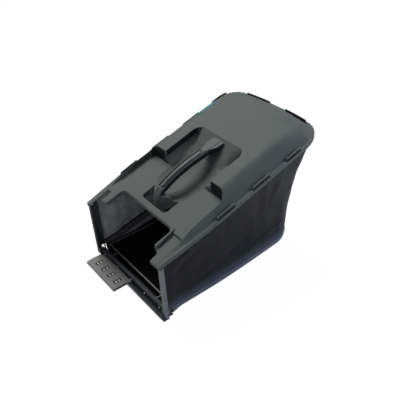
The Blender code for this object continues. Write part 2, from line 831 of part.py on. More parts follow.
def make_tab(material):
    """Guide lip on the left half: ribbed plate with comb-shaped slots, turned down all round."""
    rear = SILL_WEB_FRONT - GAP
    body = block("guide_tab", (TAB_LEFT, TAB_FRONT, SILL_FLANGE + GAP), (TAB_RIGHT, rear, TAB_TOP))
    fall = prism("fall", [(TAB_LEFT - 0.01, TAB_FRONT - 0.01), (TAB_RIGHT + 0.01, TAB_FRONT - 0.01),
                          (TAB_RIGHT + 0.01, TAB_FRONT + 0.014), (TAB_LEFT - 0.01, TAB_FRONT + 0.014)],
                 lambda x, y: TAB_TOP - 0.004 + 0.004 * (y - TAB_FRONT + 0.01) / 0.024, TAB_TOP + 0.01)
    combine(body, fall, "DIFFERENCE")
    hollow = block("hollow", (TAB_LEFT + TAB_PLATE, TAB_FRONT + TAB_PLATE, -0.01),
                   (TAB_RIGHT - TAB_PLATE, -0.002, TAB_TOP - TAB_PLATE - 0.0012))
    combine(body, hollow, "DIFFERENCE")
    gutter = block("gutter", (TAB_LEFT - 0.01, -0.0045, SILL_FLANGE + 0.0035),
                   (TAB_RIGHT + 0.01, rear + 0.01, TAB_TOP + 0.01))
    combine(body, gutter, "DIFFERENCE")
    pitch = (TAB_RIGHT - TAB_LEFT) / (TAB_GROUPS + 0.6)
    for group in range(TAB_GROUPS):
        spine = TAB_LEFT + pitch * (group + 0.75)
        cut = block("spine", (spine, -0.040, -0.01), (spine + 0.0022, -0.014, TAB_TOP + 0.01))
        combine(body, cut, "DIFFERENCE")
        for tooth in range(3):
            start = -0.040 + tooth * 0.0105
            reach = min(spine + 0.013, TAB_RIGHT - TAB_PLATE - 0.002)
            cut = block("tooth", (spine + 0.001, start + 0.0001, -0.01),
                        (reach, start + 0.0027, TAB_TOP + 0.01))
            combine(body, cut, "DIFFERENCE")
    body.data.materials.clear()
    body.data.materials.append(material)
    return body


# Bag


def base_path(front):
    return full_path(right_half_path(front, BAG_BASE_REAR, base_side, BAG_BASE_CORNER, 0.0, SIDE_STEPS, 8, 3))


def base_side(y):
    """Half width of the bag's bottom edge: widest at the mouth, drawn in behind it, tapered to the rear."""
    full = BASE_WIDTH / 2 - BAG_MOUTH_INSET
    drawn_in = mix(full, BAG_BASE_HALF, smooth_step((y - BAG_FRONT - BATTEN_WIDTH - 0.002) / 0.045))
    return drawn_in - BAG_BASE_TAPER * max(0.0, (y - 0.17) / 0.25) ** 1.5


def top_path(front):
    return inset_path(rim_path(front), CLOTH_INSET)


def bag_top(y):
    """Level of the bag's upper edge, tucked inside the cover's turned-down rim."""
    return FRONT_HEIGHT + COVER_SLOPE * y - COVER_WALL - GAP


def bag_ring_at(front, level, inset):
    """A level ring of the bag at one height above the ground."""
    base = inset_path(base_path(front), inset)
    top = inset_path(top_path(front), inset)
    ring = []
    for (bx, by), (tx, ty) in zip(base, top):
        lean = (level / bag_top(ty)) ** BAG_LEAN
        ring.append(Vector((mix(bx, tx, lean), mix(by, ty, lean), level)))
    return ring


def make_bag_wall(material):
    """Side, rear and side in one wrap of cloth, as a thin closed shell."""
    rows = 8
    rings = []
    for inset in (0.0, CLOTH):
        levels = []
        for row in range(rows + 1):
            low = bag_ring_at(BAG_FRONT + GAP, TRAY_HEIGHT + GAP, inset)
            share = row / rows
            base = inset_path(base_path(BAG_FRONT + GAP), inset)
            top = inset_path(top_path(BAG_FRONT + GAP), inset)
            ring = []
            for (bx, by), (tx, ty), start in zip(base, top, low):
                level = mix(start.z, bag_top(ty), share)
                lean = (level / bag_top(ty)) ** BAG_LEAN
                ring.append(Vector((mix(bx, tx, lean), mix(by, ty, lean), level)))
            levels.append(ring)
        rings.append(levels)
    outer, inner = rings
    count = len(outer[0])
    points = [point for level in outer for point in level] + [point for level in inner for point in level]
    shift = (rows + 1) * count
    faces = []
    for row in range(rows):
        for column in range(count - 1):
            low = row * count + column
            high = low + count
            faces.append((low, low + 1, high + 1, high))
            faces.append((shift + low + 1, shift + low, shift + high, shift + high + 1))
        low = row * count
        high = low + count
        faces.append((shift + low, low, high, shift + high))
        faces.append((low + count - 1, shift + low + count - 1, shift + high + count - 1, high + count - 1))
    for column in range(count - 1):
        faces.append((column + 1, column, shift + column, shift + column + 1))
        top = rows * count + column
        faces.append((top, top + 1, shift + top + 1, shift + top))
    return add_mesh("bag_wall", points, faces, material)


def make_bag_base(material):
    """Coated bottom panel with its turned-up edge, open towards the sill."""
    outer_low = bag_ring_at(TRAY_FRONT, 0.0, 0.0)
    outer_high = bag_ring_at(TRAY_FRONT, TRAY_HEIGHT, 0.0)
    inner_high = bag_ring_at(TRAY_FRONT, TRAY_HEIGHT, CLOTH)
    inner_low = bag_ring_at(TRAY_FRONT, TRAY_FLOOR, CLOTH)
    rings = [outer_low, outer_high, inner_high, inner_low]
    count = len(outer_low)
    points = [point for ring in rings for point in ring]
    faces = [tuple(reversed(range(count)))]
    for row in range(3):
        for column in range(count - 1):
            low = row * count + column
            high = low + count
            faces.append((low, low + 1, high + 1, high))
    faces.append(tuple(range(3 * count, 4 * count)))
    right = [row * count for row in range(4)]
    left = [row * count + count - 1 for row in reversed(range(4))]
    faces.append(tuple(left + right)[::-1])
    return add_mesh("bag_base", points, faces, material)


def tube_ring(path, radius, sides):
    """Sections of a round wire along a closed flat path."""
    sections = []
    count = len(path)
    for index, point in enumerate(path):
        before = path[index - 1]
        after = path[(index + 1) % count]
        along = (after - before).normalized()
        across = along.cross(Vector((0, 0, 1))).normalized()
        section = []
        for side in range(sides):
            angle = 2.0 * math.pi * side / sides
            rise = Vector((0, 0, radius * math.sin(angle)))
            section.append(point + across * radius * math.cos(angle) + rise)
        sections.append(section)
    return sections


def make_wire_frame(material):
    """Welded wire loop lying just inside the bottom of the bag, with two stays to the sill."""
    inset = CLOTH + WIRE_CLEARANCE + WIRE_RADIUS
    ring = inset_path(bag_path_at(WIRE_HEIGHT), inset)
    path = [Vector((x, y, WIRE_HEIGHT)) for x, y in ring]
    sides = 8
    sections = tube_ring(path, WIRE_RADIUS, sides)
    count = len(sections)
    points = [point for section in sections for point in section]
    faces = []
    for row in range(count):
        for side in range(sides):
            following = (side + 1) % sides
            low = row * sides
            high = ((row + 1) % count) * sides
            faces.append((low + side, high + side, high + following, low + following))
    frame = add_mesh("wire_frame", points, faces)
    start = SILL_WEB_FRONT + SILL_LIP + GAP
    for x in (-STAY_HALF, STAY_HALF):
        stay_sections = []
        for y in (start, WIRE_FRONT):
            ring = []
            for side in range(sides):
                angle = 2.0 * math.pi * (side + 0.5) / sides
                across = STAY_RADIUS * math.cos(angle)
                rise = STAY_RADIUS * math.sin(angle)
                ring.append(Vector((x + across, y, WIRE_HEIGHT + rise)))
            stay_sections.append(list(reversed(ring)))
        combine(frame, loft("stay", stay_sections), "UNION")
    frame.data.materials.clear()
    frame.data.materials.append(material)
    return frame


def bag_path_at(level):
    return [(point.x, point.y) for point in bag_ring_at(WIRE_FRONT, level, 0.0)]


def cloth_draw(station, level):
    """How far in the cloth's outer face has leaned at one level, on a station of the rim path."""
    index, share = station
    ring = bag_ring_at(BAG_FRONT + GAP, level, 0.0)
    point = ring[index].lerp(ring[index + 1], share)
    edge = edge_point(station, CLOTH_INSET)
    inward = (edge_point(station, CLOTH_INSET + 0.01) - edge).normalized()
    return (Vector((point.x, point.y)) - edge).dot(inward)


def make_clip(name, side, start, end, material):
    """Clip sewn inside the cloth: its foot follows the cloth and its strip stands up through a slot."""
    near = CLOTH + GAP + 0.0002
    far = near + CLIP_THICKNESS
    chamfer = 0.0006
    sections = []
    for step in range(EDGE_STEPS + 1):
        station = rim_station(side, mix(start, end, step / EDGE_STEPS))
        edge = edge_point(station, CLOTH_INSET + near)
        foot = -COVER_WALL - CLIP_DROP
        drawn = CLOTH_INSET + cloth_draw(station, bag_top(edge.y) - CLIP_DROP) + GAP
        section = []
        for depth in (near, far):
            point = edge_point(station, drawn + depth)
            section.append(lift(point.x, point.y, foot))
        for depth, w in ((far, -COVER_WALL), (far, CLIP_PROUD - chamfer), (far - chamfer, CLIP_PROUD),
                         (near + chamfer, CLIP_PROUD), (near, CLIP_PROUD - chamfer), (near, -COVER_WALL)):
            point = edge_point(station, CLOTH_INSET + depth)
            section.append(lift(point.x, point.y, w))
        sections.append(section)
    return loft(name, sections, material)


def make_strip(material):
    """Coloured strip lying on the rolled shoulder of the left edge."""
    distances = [0.0095, 0.0135, 0.0175]
    lower = [(d, roll_height(d, 1.0) + GAP + 0.0002) for d in distances]
    upper = [(d, w + STRIP_THICKNESS) for d, w in reversed(lower)]
    return sweep_edge("side_strip", "left", STRIP_START, STRIP_END, lower + upper, material)


def make_batten(name, side, material):
    """Strip inside the cloth that clamps its front edge behind the post."""
    front = POST_FACE_DEPTH + GAP
    rear = front + BATTEN_WIDTH
    top = FRONT_HEIGHT - SKIRT_DEPTH - BATTEN_END
    sections = []
    for level in stations_between(TRAY_HEIGHT + BATTEN_END, top, 6):
        lean = (level / bag_top(front)) ** BAG_LEAN
        half = mix(base_side(front), rim_half(front) - CLOTH_INSET, lean) - CLOTH - GAP
        low, high = sorted((side * half, side * (half - BATTEN_THICKNESS)))
        sections.append([Vector((low, front, level)), Vector((high, front, level)),
                         Vector((high, rear, level)), Vector((low, rear, level))])
    return loft(name, sections, material)


def set_on_root(bodies):
    """Hang every piece from one empty, which puts the origin under the middle of the length."""
    root = bpy.data.objects.new("grass_catcher", None)
    bpy.context.scene.collection.objects.link(root)
    for body in bodies:
        body.parent = root
    root.location = (0.0, -ORIGIN_Y, 0.0)


def main():
    clear_scene()
    cover_plastic = make_material("cover_plastic", (0.128, 0.144, 0.140), 0.42)
    grip_plastic = make_material("grip_plastic", (0.105, 0.118, 0.116), 0.38)
    insert_plastic = make_material("insert_plastic", (0.22, 0.245, 0.24), 0.45)
    frame_plastic = make_material("frame_plastic", (0.020, 0.021, 0.026), 0.40)
    tab_plastic = make_material("tab_plastic", (0.15, 0.165, 0.155), 0.50)
    rivet_metal = make_material("rivet_metal", (0.45, 0.45, 0.43), 0.35, 1.0)
    wire_metal = make_material("wire_metal", (0.10, 0.10, 0.10), 0.45, 0.6)
    bag_cloth = make_material("bag_cloth", (0.016, 0.015, 0.022), 0.90)
    base_cloth = make_material("base_cloth", (0.045, 0.052, 0.070), 0.65)
    clip_plastic = make_material("clip_plastic", (0.028, 0.029, 0.030), 0.45)
    strip_colour = make_material("strip_colour", (0.045, 0.255, 0.285), 0.45)

    bodies = [make_cover(cover_plastic), make_handle(grip_plastic), make_insert(insert_plastic)]
    bodies += [make_post("left_post", -1, frame_plastic), make_post("right_post", 1, frame_plastic)]
    bodies += [make_sill(frame_plastic), make_tab(tab_plastic)]
    for index, x in enumerate(rivet_places()):
        bodies.append(make_rivet(f"sill_rivet_{index + 1}", x, rivet_metal))
    for word, side in (("left", -1), ("right", 1)):
        bodies.append(make_foot_cap(f"{word}_foot_cap", side, frame_plastic))
        bodies.append(make_batten(f"{word}_batten", side, frame_plastic))
    bodies += [make_bag_wall(bag_cloth), make_bag_base(base_cloth), make_wire_frame(wire_metal)]
    for name, (side, start, end) in CLIP_PLACES.items():
        bodies.append(make_clip(name, side, start, end, clip_plastic))
    bodies.append(make_strip(strip_colour))
    set_on_root(bodies)


main()
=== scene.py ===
import math

import bmesh
import bpy
from mathutils import Matrix, Vector, noise


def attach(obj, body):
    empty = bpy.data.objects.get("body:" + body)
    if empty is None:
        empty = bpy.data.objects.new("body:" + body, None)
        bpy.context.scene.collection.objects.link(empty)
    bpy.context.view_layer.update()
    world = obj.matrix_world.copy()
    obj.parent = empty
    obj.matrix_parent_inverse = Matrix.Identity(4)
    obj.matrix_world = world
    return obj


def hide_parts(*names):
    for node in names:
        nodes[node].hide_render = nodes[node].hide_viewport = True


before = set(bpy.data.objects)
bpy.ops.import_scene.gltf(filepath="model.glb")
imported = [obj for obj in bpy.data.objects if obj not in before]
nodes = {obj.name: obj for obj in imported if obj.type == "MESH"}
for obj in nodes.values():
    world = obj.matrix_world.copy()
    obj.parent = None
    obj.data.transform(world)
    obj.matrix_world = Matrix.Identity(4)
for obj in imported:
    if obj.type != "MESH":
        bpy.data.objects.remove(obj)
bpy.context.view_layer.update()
print("frame loaded:", len(nodes), "nodes")


# Camera

cameraSet = {
    "place": (1.0978, -0.7853, 1.1591),
    "azimuth": 54.10,
    "elevation": 36.085,
    "roll": -3.586,
    "lens": 50.0,
    "film": 36.0,
}


def placeCamera():
    azimuth = math.radians(cameraSet["azimuth"])
    elevation = math.radians(cameraSet["elevation"])
    roll = math.radians(cameraSet["roll"])
    ahead = Vector((-math.sin(azimuth) * math.cos(elevation), math.cos(azimuth) * math.cos(elevation),
                    -math.sin(elevation)))
    right = Vector((math.cos(azimuth), math.sin(azimuth), 0.0))
    up = right.cross(ahead)
    rightRolled = right * math.cos(roll) + up * math.sin(roll)
    upRolled = up * math.cos(roll) - right * math.sin(roll)
    data = bpy.data.cameras.new("photoCamera")
    data.lens = cameraSet["lens"]
    data.sensor_width = cameraSet["film"]
    camera = bpy.data.objects.new("photoCamera", data)
    turn = Matrix((rightRolled, upRolled, -ahead)).transposed()
    camera.matrix_world = Matrix.Translation(cameraSet["place"]) @ turn.to_4x4()
    bpy.context.scene.collection.objects.link(camera)
    bpy.context.scene.camera = camera


placeCamera()


# Light and floor

lightSet = {
    "world": 0.17,
    "worldColour": (0.80, 0.84, 0.92, 1.0),
    "keyPower": 230.0,
    "keyPlace": (-3.3, 0.35, 4.6),
    "keySize": 3.4,
    "keyColour": (1.0, 0.99, 0.96),
    "fillPower": 40.0,
    "fillPlace": (1.5, 2.3, 1.5),
    "fillSize": 0.8,
    "fillColour": (0.80, 0.86, 1.0),
    "aim": (0.0, 0.0, 0.2),
    "floorGlow": 0.94,
    "floorWhite": 1.04,
    "floorColour": (0.86, 0.86, 0.86, 1.0),
    "floorRough": 0.9,
    "floorReach": 3.0,
    "floorLevel": -0.001,
}


def areaLight(name, place, size, power, colour):
    data = bpy.data.lights.new(name, "AREA")
    data.shape = "DISK"
    data.size = size
    data.energy = power
    data.color = colour
    light = bpy.data.objects.new(name, data)
    light.location = place
    toward = Vector(lightSet["aim"]) - Vector(place)
    light.rotation_euler = toward.to_track_quat("-Z", "Y").to_euler()
    bpy.context.scene.collection.objects.link(light)


def whiteWhereSeen(tree, shade, white, output):
    # camera rays and rays through glass meet plain white, all others, reflections too, the real shader
    path = tree.nodes.new("ShaderNodeLightPath")
    either = tree.nodes.new("ShaderNodeMath")
    either.operation = "MAXIMUM"
    tree.links.new(path.outputs["Is Camera Ray"], either.inputs[0])
    tree.links.new(path.outputs["Is Transmission Ray"], either.inputs[1])
    mix = tree.nodes.new("ShaderNodeMixShader")
    tree.links.new(either.outputs["Value"], mix.inputs["Fac"])
    tree.links.new(shade.outputs[0], mix.inputs[1])
    tree.links.new(white.outputs[0], mix.inputs[2])
    tree.links.new(mix.outputs["Shader"], output.inputs["Surface"])
    return either, mix


def lightRoom():
    scene = bpy.context.scene
    scene.view_settings.view_transform = "Standard"
    world = bpy.data.worlds.new("paleRoom")
    world.use_nodes = True
    scene.world = world
    tree = world.node_tree
    plain = tree.nodes["Background"]
    plain.inputs["Color"].default_value = lightSet["worldColour"]
    plain.inputs["Strength"].default_value = lightSet["world"]
    white = tree.nodes.new("ShaderNodeBackground")
    white.inputs["Color"].default_value = (1.0, 1.0, 1.0, 1.0)
    whiteWhereSeen(tree, plain, white, tree.nodes["World Output"])
    for name in ("key", "fill"):
        areaLight(name + "Light", lightSet[name + "Place"], lightSet[name + "Size"],
                  lightSet[name + "Power"], lightSet[name + "Colour"])

    mesh = bpy.data.meshes.new("floor")
    reach, level = lightSet["floorReach"], lightSet["floorLevel"]
    corners = [(x * reach, y * reach, level) for x, y in ((-1, -1), (1, -1), (1, 1), (-1, 1))]
    mesh.from_pydata(corners, [], [(0, 1, 2, 3)])
    floor = bpy.data.objects.new("floor", mesh)
    scene.collection.objects.link(floor)
    pale = bpy.data.materials.new("paleFloor")
    pale.use_nodes = True
    tree = pale.node_tree
    shader = tree.nodes["Principled BSDF"]
    shader.inputs["Base Color"].default_value = lightSet["floorColour"]
    shader.inputs["Roughness"].default_value = lightSet["floorRough"]
    glow = tree.nodes.new("ShaderNodeEmission")
    glow.inputs["Strength"].default_value = lightSet["floorWhite"]
    either, mix = whiteWhereSeen(tree, shader, glow, tree.nodes["Material Output"])
    # part of the real shader stays in what the camera sees, so the shadow stays faintly there
    part = tree.nodes.new("ShaderNodeMath")
    part.operation = "MULTIPLY"
    part.inputs[1].default_value = lightSet["floorGlow"]
    tree.links.new(either.outputs["Value"], part.inputs[0])
    tree.links.new(part.outputs["Value"], mix.inputs["Fac"])
    mesh.materials.append(pale)


lightRoom()
print("camera and light placed")


# Shared shader groups

groupSet = {
    "wearNoise": 90.0,  # noise scales, per metre
    "slubNoise": 26.0,
    "dustNoise": 34.0,
    "gapLevel": -1.35,  # where two low threads leave a gap between them
    "noiseLow": 0.25,  # most of a noise lies between these two
    "noiseHigh": 0.75,
}
surfaceSet = {
    "plasticRough": (-0.05, 0.06),  # the noise's swing to each side of the look's roughness
    "metalRough": (-0.06, 0.08),
    "clothRough": (-0.06, 0.05),
    "plasticDepth": 0.0004,  # how far the bump reaches, in metres
    "metalDepth": 0.0002,
    "clothDepth": 0.0005,
    "metalBump": 0.1,
    "metalPatch": 0.02,
    "metalWear": 0.4,
    "sheenRough": 0.5,
}


def newGroup(name, inputs, outputs):
    group = bpy.data.node_groups.new(name, "ShaderNodeTree")
    for label, kind, value in inputs:
        socket = group.interface.new_socket(label, in_out="INPUT", socket_type=kind)
        socket.default_value = value
    for label, kind in outputs:
        group.interface.new_socket(label, in_out="OUTPUT", socket_type=kind)
    start = group.nodes.new("NodeGroupInput")
    end = group.nodes.new("NodeGroupOutput")
    return group, start, end


def maths(tree, operation, first, second=None, third=None):
    node = tree.nodes.new("ShaderNodeMath")
    node.operation = operation
    for index, value in enumerate((first, second, third)):
        if value is None:
            continue
        if isinstance(value, (int, float)):
            node.inputs[index].default_value = value
        else:
            tree.links.new(value, node.inputs[index])
    return node.outputs["Value"]


def noiseAt(tree, vector, scale, detail=3.0, roughness=0.5):
    node = tree.nodes.new("ShaderNodeTexNoise")
    node.inputs["Detail"].default_value = detail
    node.inputs["Roughness"].default_value = roughness
    tree.links.new(vector, node.inputs["Vector"])
    if isinstance(scale, (int, float)):
        node.inputs["Scale"].default_value = scale
    else:
        tree.links.new(scale, node.inputs["Scale"])
    return node.outputs["Fac"]


def mouldGrainGroup():
    # fine spark-eroded grain of a moulding and the slow change of tone across it
    group, start, end = newGroup("mouldGrain", [
        ("Grain Size", "NodeSocketFloat", 0.0012), ("Patch Size", "NodeSocketFloat", 0.06)], [
        ("Height", "NodeSocketFloat"), ("Patch", "NodeSocketFloat")])
    place = group.nodes.new("ShaderNodeTexCoord").outputs["Object"]
    grainScale = maths(group, "DIVIDE", 1.0, start.outputs["Grain Size"])
    patchScale = maths(group, "DIVIDE", 1.0, start.outputs["Patch Size"])
    group.links.new(noiseAt(group, place, grainScale, 2.0, 0.6), end.inputs["Height"])
    group.links.new(noiseAt(group, place, patchScale, 4.0, 0.6), end.inputs["Patch"])
    return group


def edgeWearGroup():
    # edges that hands and bumps have rubbed pale, broken up by noise
    group, start, end = newGroup("edgeWear", [
        ("Sharpness", "NodeSocketFloat", 14.0), ("Level", "NodeSocketFloat", 0.52)], [
        ("Edge", "NodeSocketFloat")])
    sharp = group.nodes.new("ShaderNodeNewGeometry").outputs["Pointiness"]
    place = group.nodes.new("ShaderNodeTexCoord").outputs["Object"]
    broken = noiseAt(group, place, groupSet["wearNoise"], 3.0, 0.6)
    over = maths(group, "MULTIPLY", maths(group, "SUBTRACT", sharp, start.outputs["Level"]),
                 start.outputs["Sharpness"])
    edge = group.nodes.new("ShaderNodeClamp")
    group.links.new(maths(group, "MULTIPLY", over, broken), edge.inputs["Value"])
    group.links.new(edge.outputs["Result"], end.inputs["Edge"])
    return group


def weaveGroup():
    # over-and-under threads, laid along the cloth's own UV in metres
    group, start, end = newGroup("weave", [("Thread Pitch", "NodeSocketFloat", 0.0012)], [
        ("Height", "NodeSocketFloat"), ("Gap", "NodeSocketFloat"), ("Slub", "NodeSocketFloat")])
    place = group.nodes.new("ShaderNodeTexCoord").outputs["UV"]
    split = group.nodes.new("ShaderNodeSeparateXYZ")
    group.links.new(place, split.inputs["Vector"])
    turn = maths(group, "DIVIDE", 2.0 * math.pi, start.outputs["Thread Pitch"])
    across = maths(group, "SINE", maths(group, "MULTIPLY", split.outputs["X"], turn))
    along = maths(group, "SINE", maths(group, "MULTIPLY", split.outputs["Y"], turn))
    woven = maths(group, "MULTIPLY", across, along)
    height = maths(group, "ABSOLUTE", woven)
    group.links.new(height, end.inputs["Height"])
    gap = maths(group, "LESS_THAN", maths(group, "ADD", across, along), groupSet["gapLevel"])
    group.links.new(gap, end.inputs["Gap"])
    group.links.new(noiseAt(group, place, groupSet["slubNoise"], 5.0, 0.65), end.inputs["Slub"])
    return group


def dustGroup():
    # pale dust that settles on what faces up
    group, start, end = newGroup("dust", [("Amount", "NodeSocketFloat", 0.2)],
                                 [("Mask", "NodeSocketFloat")])
    facing = group.nodes.new("ShaderNodeSeparateXYZ")
    group.links.new(group.nodes.new("ShaderNodeNewGeometry").outputs["Normal"], facing.inputs["Vector"])
    place = group.nodes.new("ShaderNodeTexCoord").outputs["Object"]
    cloud = noiseAt(group, place, groupSet["dustNoise"], 6.0, 0.7)
    upward = group.nodes.new("ShaderNodeClamp")
    group.links.new(facing.outputs["Z"], upward.inputs["Value"])
    settled = maths(group, "MULTIPLY", maths(group, "MULTIPLY", upward.outputs["Result"], cloud),
                    start.outputs["Amount"])
    group.links.new(settled, end.inputs["Mask"])
    return group


groups = {"mouldGrain": mouldGrainGroup(), "edgeWear": edgeWearGroup(), "weave": weaveGroup(),
          "dust": dustGroup()}


def useGroup(tree, name, **values):
    node = tree.nodes.new("ShaderNodeGroup")
    node.node_tree = groups[name]
    for label, value in values.items():
        node.inputs[label.replace("_", " ")].default_value = value
    return node


def blendColour(tree, share, first, second):
    node = tree.nodes.new("ShaderNodeMix")
    node.data_type = "RGBA"
    if isinstance(share, (int, float)):
        node.inputs["Factor"].default_value = share
    else:
        tree.links.new(share, node.inputs["Factor"])
    for socket, value in (("A", first), ("B", second)):
        target = [item for item in node.inputs if item.name == socket and item.type == "RGBA"][0]
        if isinstance(value, tuple):
            target.default_value = (*value, 1.0)
        else:
            tree.links.new(value, target)
    return [item for item in node.outputs if item.type == "RGBA"][0]


def spread(tree, value, low, high):
    # stretch the middle half of a noise over low to high
    node = tree.nodes.new("ShaderNodeMapRange")
    node.inputs["From Min"].default_value = groupSet["noiseLow"]
    node.inputs["From Max"].default_value = groupSet["noiseHigh"]
    node.inputs["To Min"].default_value = low
    node.inputs["To Max"].default_value = high
    tree.links.new(value, node.inputs["Value"])
    return node.outputs["Result"]


def roughness(tree, value, look, swing):
    lower, higher = surfaceSet[swing]
    return spread(tree, value, look["rough"] + lower, look["rough"] + higher)


def bumpOn(tree, height, strength, distance):
    node = tree.nodes.new("ShaderNodeBump")
    node.inputs["Strength"].default_value = strength
    node.inputs["Distance"].default_value = distance
    tree.links.new(height, node.inputs["Height"])
    return node.outputs["Normal"]


def startMaterial(name):
    material = bpy.data.materials.new(name)
    material.use_nodes = True
    tree = material.node_tree
    return material, tree, tree.nodes["Principled BSDF"]


def mouldedPlastic(name, look):
    material, tree, shader = startMaterial(name)
    grain = useGroup(tree, "mouldGrain", Grain_Size=look["grain"], Patch_Size=look["patch"])
    wear = useGroup(tree, "edgeWear")
    settled = useGroup(tree, "dust", Amount=look["dust"])
    patchy = blendColour(tree, spread(tree, grain.outputs["Patch"], 0.0, 1.0), look["dark"], look["light"])
    rubbed = blendColour(tree, maths(tree, "MULTIPLY", wear.outputs["Edge"], look["wear"]), patchy,
                         look["rubbed"])
    dusty = blendColour(tree, settled.outputs["Mask"], rubbed, look["dustColour"])
    tree.links.new(dusty, shader.inputs["Base Color"])
    tree.links.new(roughness(tree, grain.outputs["Patch"], look, "plasticRough"), shader.inputs["Roughness"])
    tree.links.new(bumpOn(tree, grain.outputs["Height"], look["bump"], surfaceSet["plasticDepth"]),
                   shader.inputs["Normal"])
    shader.inputs["Specular IOR Level"].default_value = look["shine"]
    return material


coverLook = {"dark": (0.104, 0.121, 0.117), "light": (0.126, 0.142, 0.138), "rubbed": (0.26, 0.27, 0.26),
             "wear": 0.35, "dust": 0.10, "dustColour": (0.20, 0.20, 0.18), "grain": 0.0011, "patch": 0.09,
             "rough": 0.60, "bump": 0.16, "shine": 0.22}
gripLook = {"dark": (0.095, 0.107, 0.108), "light": (0.118, 0.130, 0.131), "rubbed": (0.24, 0.26, 0.26),
            "wear": 0.45, "dust": 0.06, "dustColour": (0.18, 0.18, 0.16), "grain": 0.0009, "patch": 0.05,
            "rough": 0.52, "bump": 0.15, "shine": 0.25}
insertLook = {"dark": (0.090, 0.106, 0.106), "light": (0.110, 0.126, 0.126), "rubbed": (0.34, 0.36, 0.36),
              "wear": 0.4, "dust": 0.06, "dustColour": (0.22, 0.22, 0.20), "grain": 0.0009, "patch": 0.04,
              "rough": 0.50, "bump": 0.12, "shine": 0.3}
# near-black plastic laid on faces where shade falls: painted shade on the cover's step faces, recess wall
# and rail foot, and on the grip's flanks and grooves
paintedShadeLook = {"dark": (0.010, 0.011, 0.013), "light": (0.016, 0.017, 0.020), "rubbed": (0.06, 0.06, 0.06),
             "wear": 0.2, "dust": 0.02, "dustColour": (0.08, 0.08, 0.08), "grain": 0.0010, "patch": 0.05,
             "rough": 0.55, "bump": 0.10, "shine": 0.2}
frameLook = {"dark": (0.010, 0.011, 0.014), "light": (0.018, 0.019, 0.023), "rubbed": (0.14, 0.15, 0.17),
             "wear": 0.45, "dust": 0.03, "dustColour": (0.12, 0.12, 0.11), "grain": 0.0010, "patch": 0.05,
             "rough": 0.60, "bump": 0.15, "shine": 0.16}
# the right post in a lighter, bluish copy of the frame plastic: painted fill light, while the left post and
# sill keep the plain frame plastic
postLitLook = {"dark": (0.052, 0.056, 0.068), "light": (0.070, 0.075, 0.090), "rubbed": (0.30, 0.31, 0.34),
            "wear": 0.6, "dust": 0.05, "dustColour": (0.16, 0.16, 0.16), "grain": 0.0010, "patch": 0.05,
            "rough": 0.42, "bump": 0.12, "shine": 0.5}
tabLook = {"dark": (0.150, 0.160, 0.155), "light": (0.190, 0.200, 0.194), "rubbed": (0.40, 0.41, 0.39),
           "wear": 0.5, "dust": 0.10, "dustColour": (0.26, 0.26, 0.24), "grain": 0.0010, "patch": 0.03,
           "rough": 0.50, "bump": 0.2, "shine": 0.4}
padLook = {"dark": (0.34, 0.35, 0.31), "light": (0.46, 0.47, 0.42), "rubbed": (0.60, 0.60, 0.55),
           "wear": 0.5, "dust": 0.05, "dustColour": (0.30, 0.30, 0.28), "grain": 0.0010, "patch": 0.02,
           "rough": 0.45, "bump": 0.1, "shine": 0.4}
# pale blue on the sill's folded front edge: a painted highlight on the black frame plastic
edgeHighlightLook = {"dark": (0.36, 0.43, 0.56), "light": (0.46, 0.53, 0.66), "rubbed": (0.60, 0.66, 0.74),
            "wear": 0.4, "dust": 0.03, "dustColour": (0.20, 0.22, 0.26), "grain": 0.0010, "patch": 0.03,
            "rough": 0.42, "bump": 0.1, "shine": 0.4}
clipLook = {"dark": (0.022, 0.023, 0.024), "light": (0.034, 0.035, 0.036), "rubbed": (0.20, 0.20, 0.19),
            "wear": 0.5, "dust": 0.05, "dustColour": (0.12, 0.12, 0.11), "grain": 0.0008, "patch": 0.02,
            "rough": 0.40, "bump": 0.12, "shine": 0.5}
stripLook = {"dark": (0.040, 0.230, 0.260), "light": (0.052, 0.280, 0.310), "rubbed": (0.20, 0.42, 0.44),
             "wear": 0.3, "dust": 0.05, "dustColour": (0.20, 0.26, 0.26), "grain": 0.0008, "patch": 0.02,
             "rough": 0.42, "bump": 0.1, "shine": 0.5}


def metalMaterial(name, look):
    material, tree, shader = startMaterial(name)
    grain = useGroup(tree, "mouldGrain", Grain_Size=look["grain"], Patch_Size=surfaceSet["metalPatch"])
    wear = useGroup(tree, "edgeWear")
    tone = blendColour(tree, spread(tree, grain.outputs["Patch"], 0.0, 1.0), look["dark"], look["light"])
    share = maths(tree, "MULTIPLY", wear.outputs["Edge"], surfaceSet["metalWear"])
    worn = blendColour(tree, share, tone, look["rubbed"])
    tree.links.new(worn, shader.inputs["Base Color"])
    tree.links.new(roughness(tree, grain.outputs["Patch"], look, "metalRough"), shader.inputs["Roughness"])
    shader.inputs["Metallic"].default_value = look["metal"]
    tree.links.new(bumpOn(tree, grain.outputs["Height"], surfaceSet["metalBump"], surfaceSet["metalDepth"]),
                   shader.inputs["Normal"])
    return material


wireLook = {"dark": (0.15, 0.15, 0.16), "light": (0.22, 0.22, 0.23), "rubbed": (0.40, 0.40, 0.40),
            "grain": 0.001, "rough": 0.38, "metal": 0.1}
rivetLook = {"dark": (0.62, 0.58, 0.48), "light": (0.78, 0.74, 0.62), "rubbed": (0.9, 0.88, 0.8),
             "grain": 0.0008, "rough": 0.35, "metal": 0.2}


def bandMask(tree, split, band):
    # 1 where the height lies between the band's two sloping edges, 0 beyond them
    rising = maths(tree, "MULTIPLY", split.outputs["Y"], band["slope"])
    height = maths(tree, "SUBTRACT", split.outputs["Z"], rising)
    above = tree.nodes.new("ShaderNodeMapRange")
    above.interpolation_type = "SMOOTHSTEP"
    below = tree.nodes.new("ShaderNodeMapRange")
    below.interpolation_type = "SMOOTHSTEP"
    for node, edge in ((above, band["low"]), (below, band["high"])):
        node.inputs["From Min"].default_value = edge - band["soft"]
        node.inputs["From Max"].default_value = edge + band["soft"]
        tree.links.new(height, node.inputs["Value"])
    return maths(tree, "SUBTRACT", above.outputs["Result"], below.outputs["Result"])


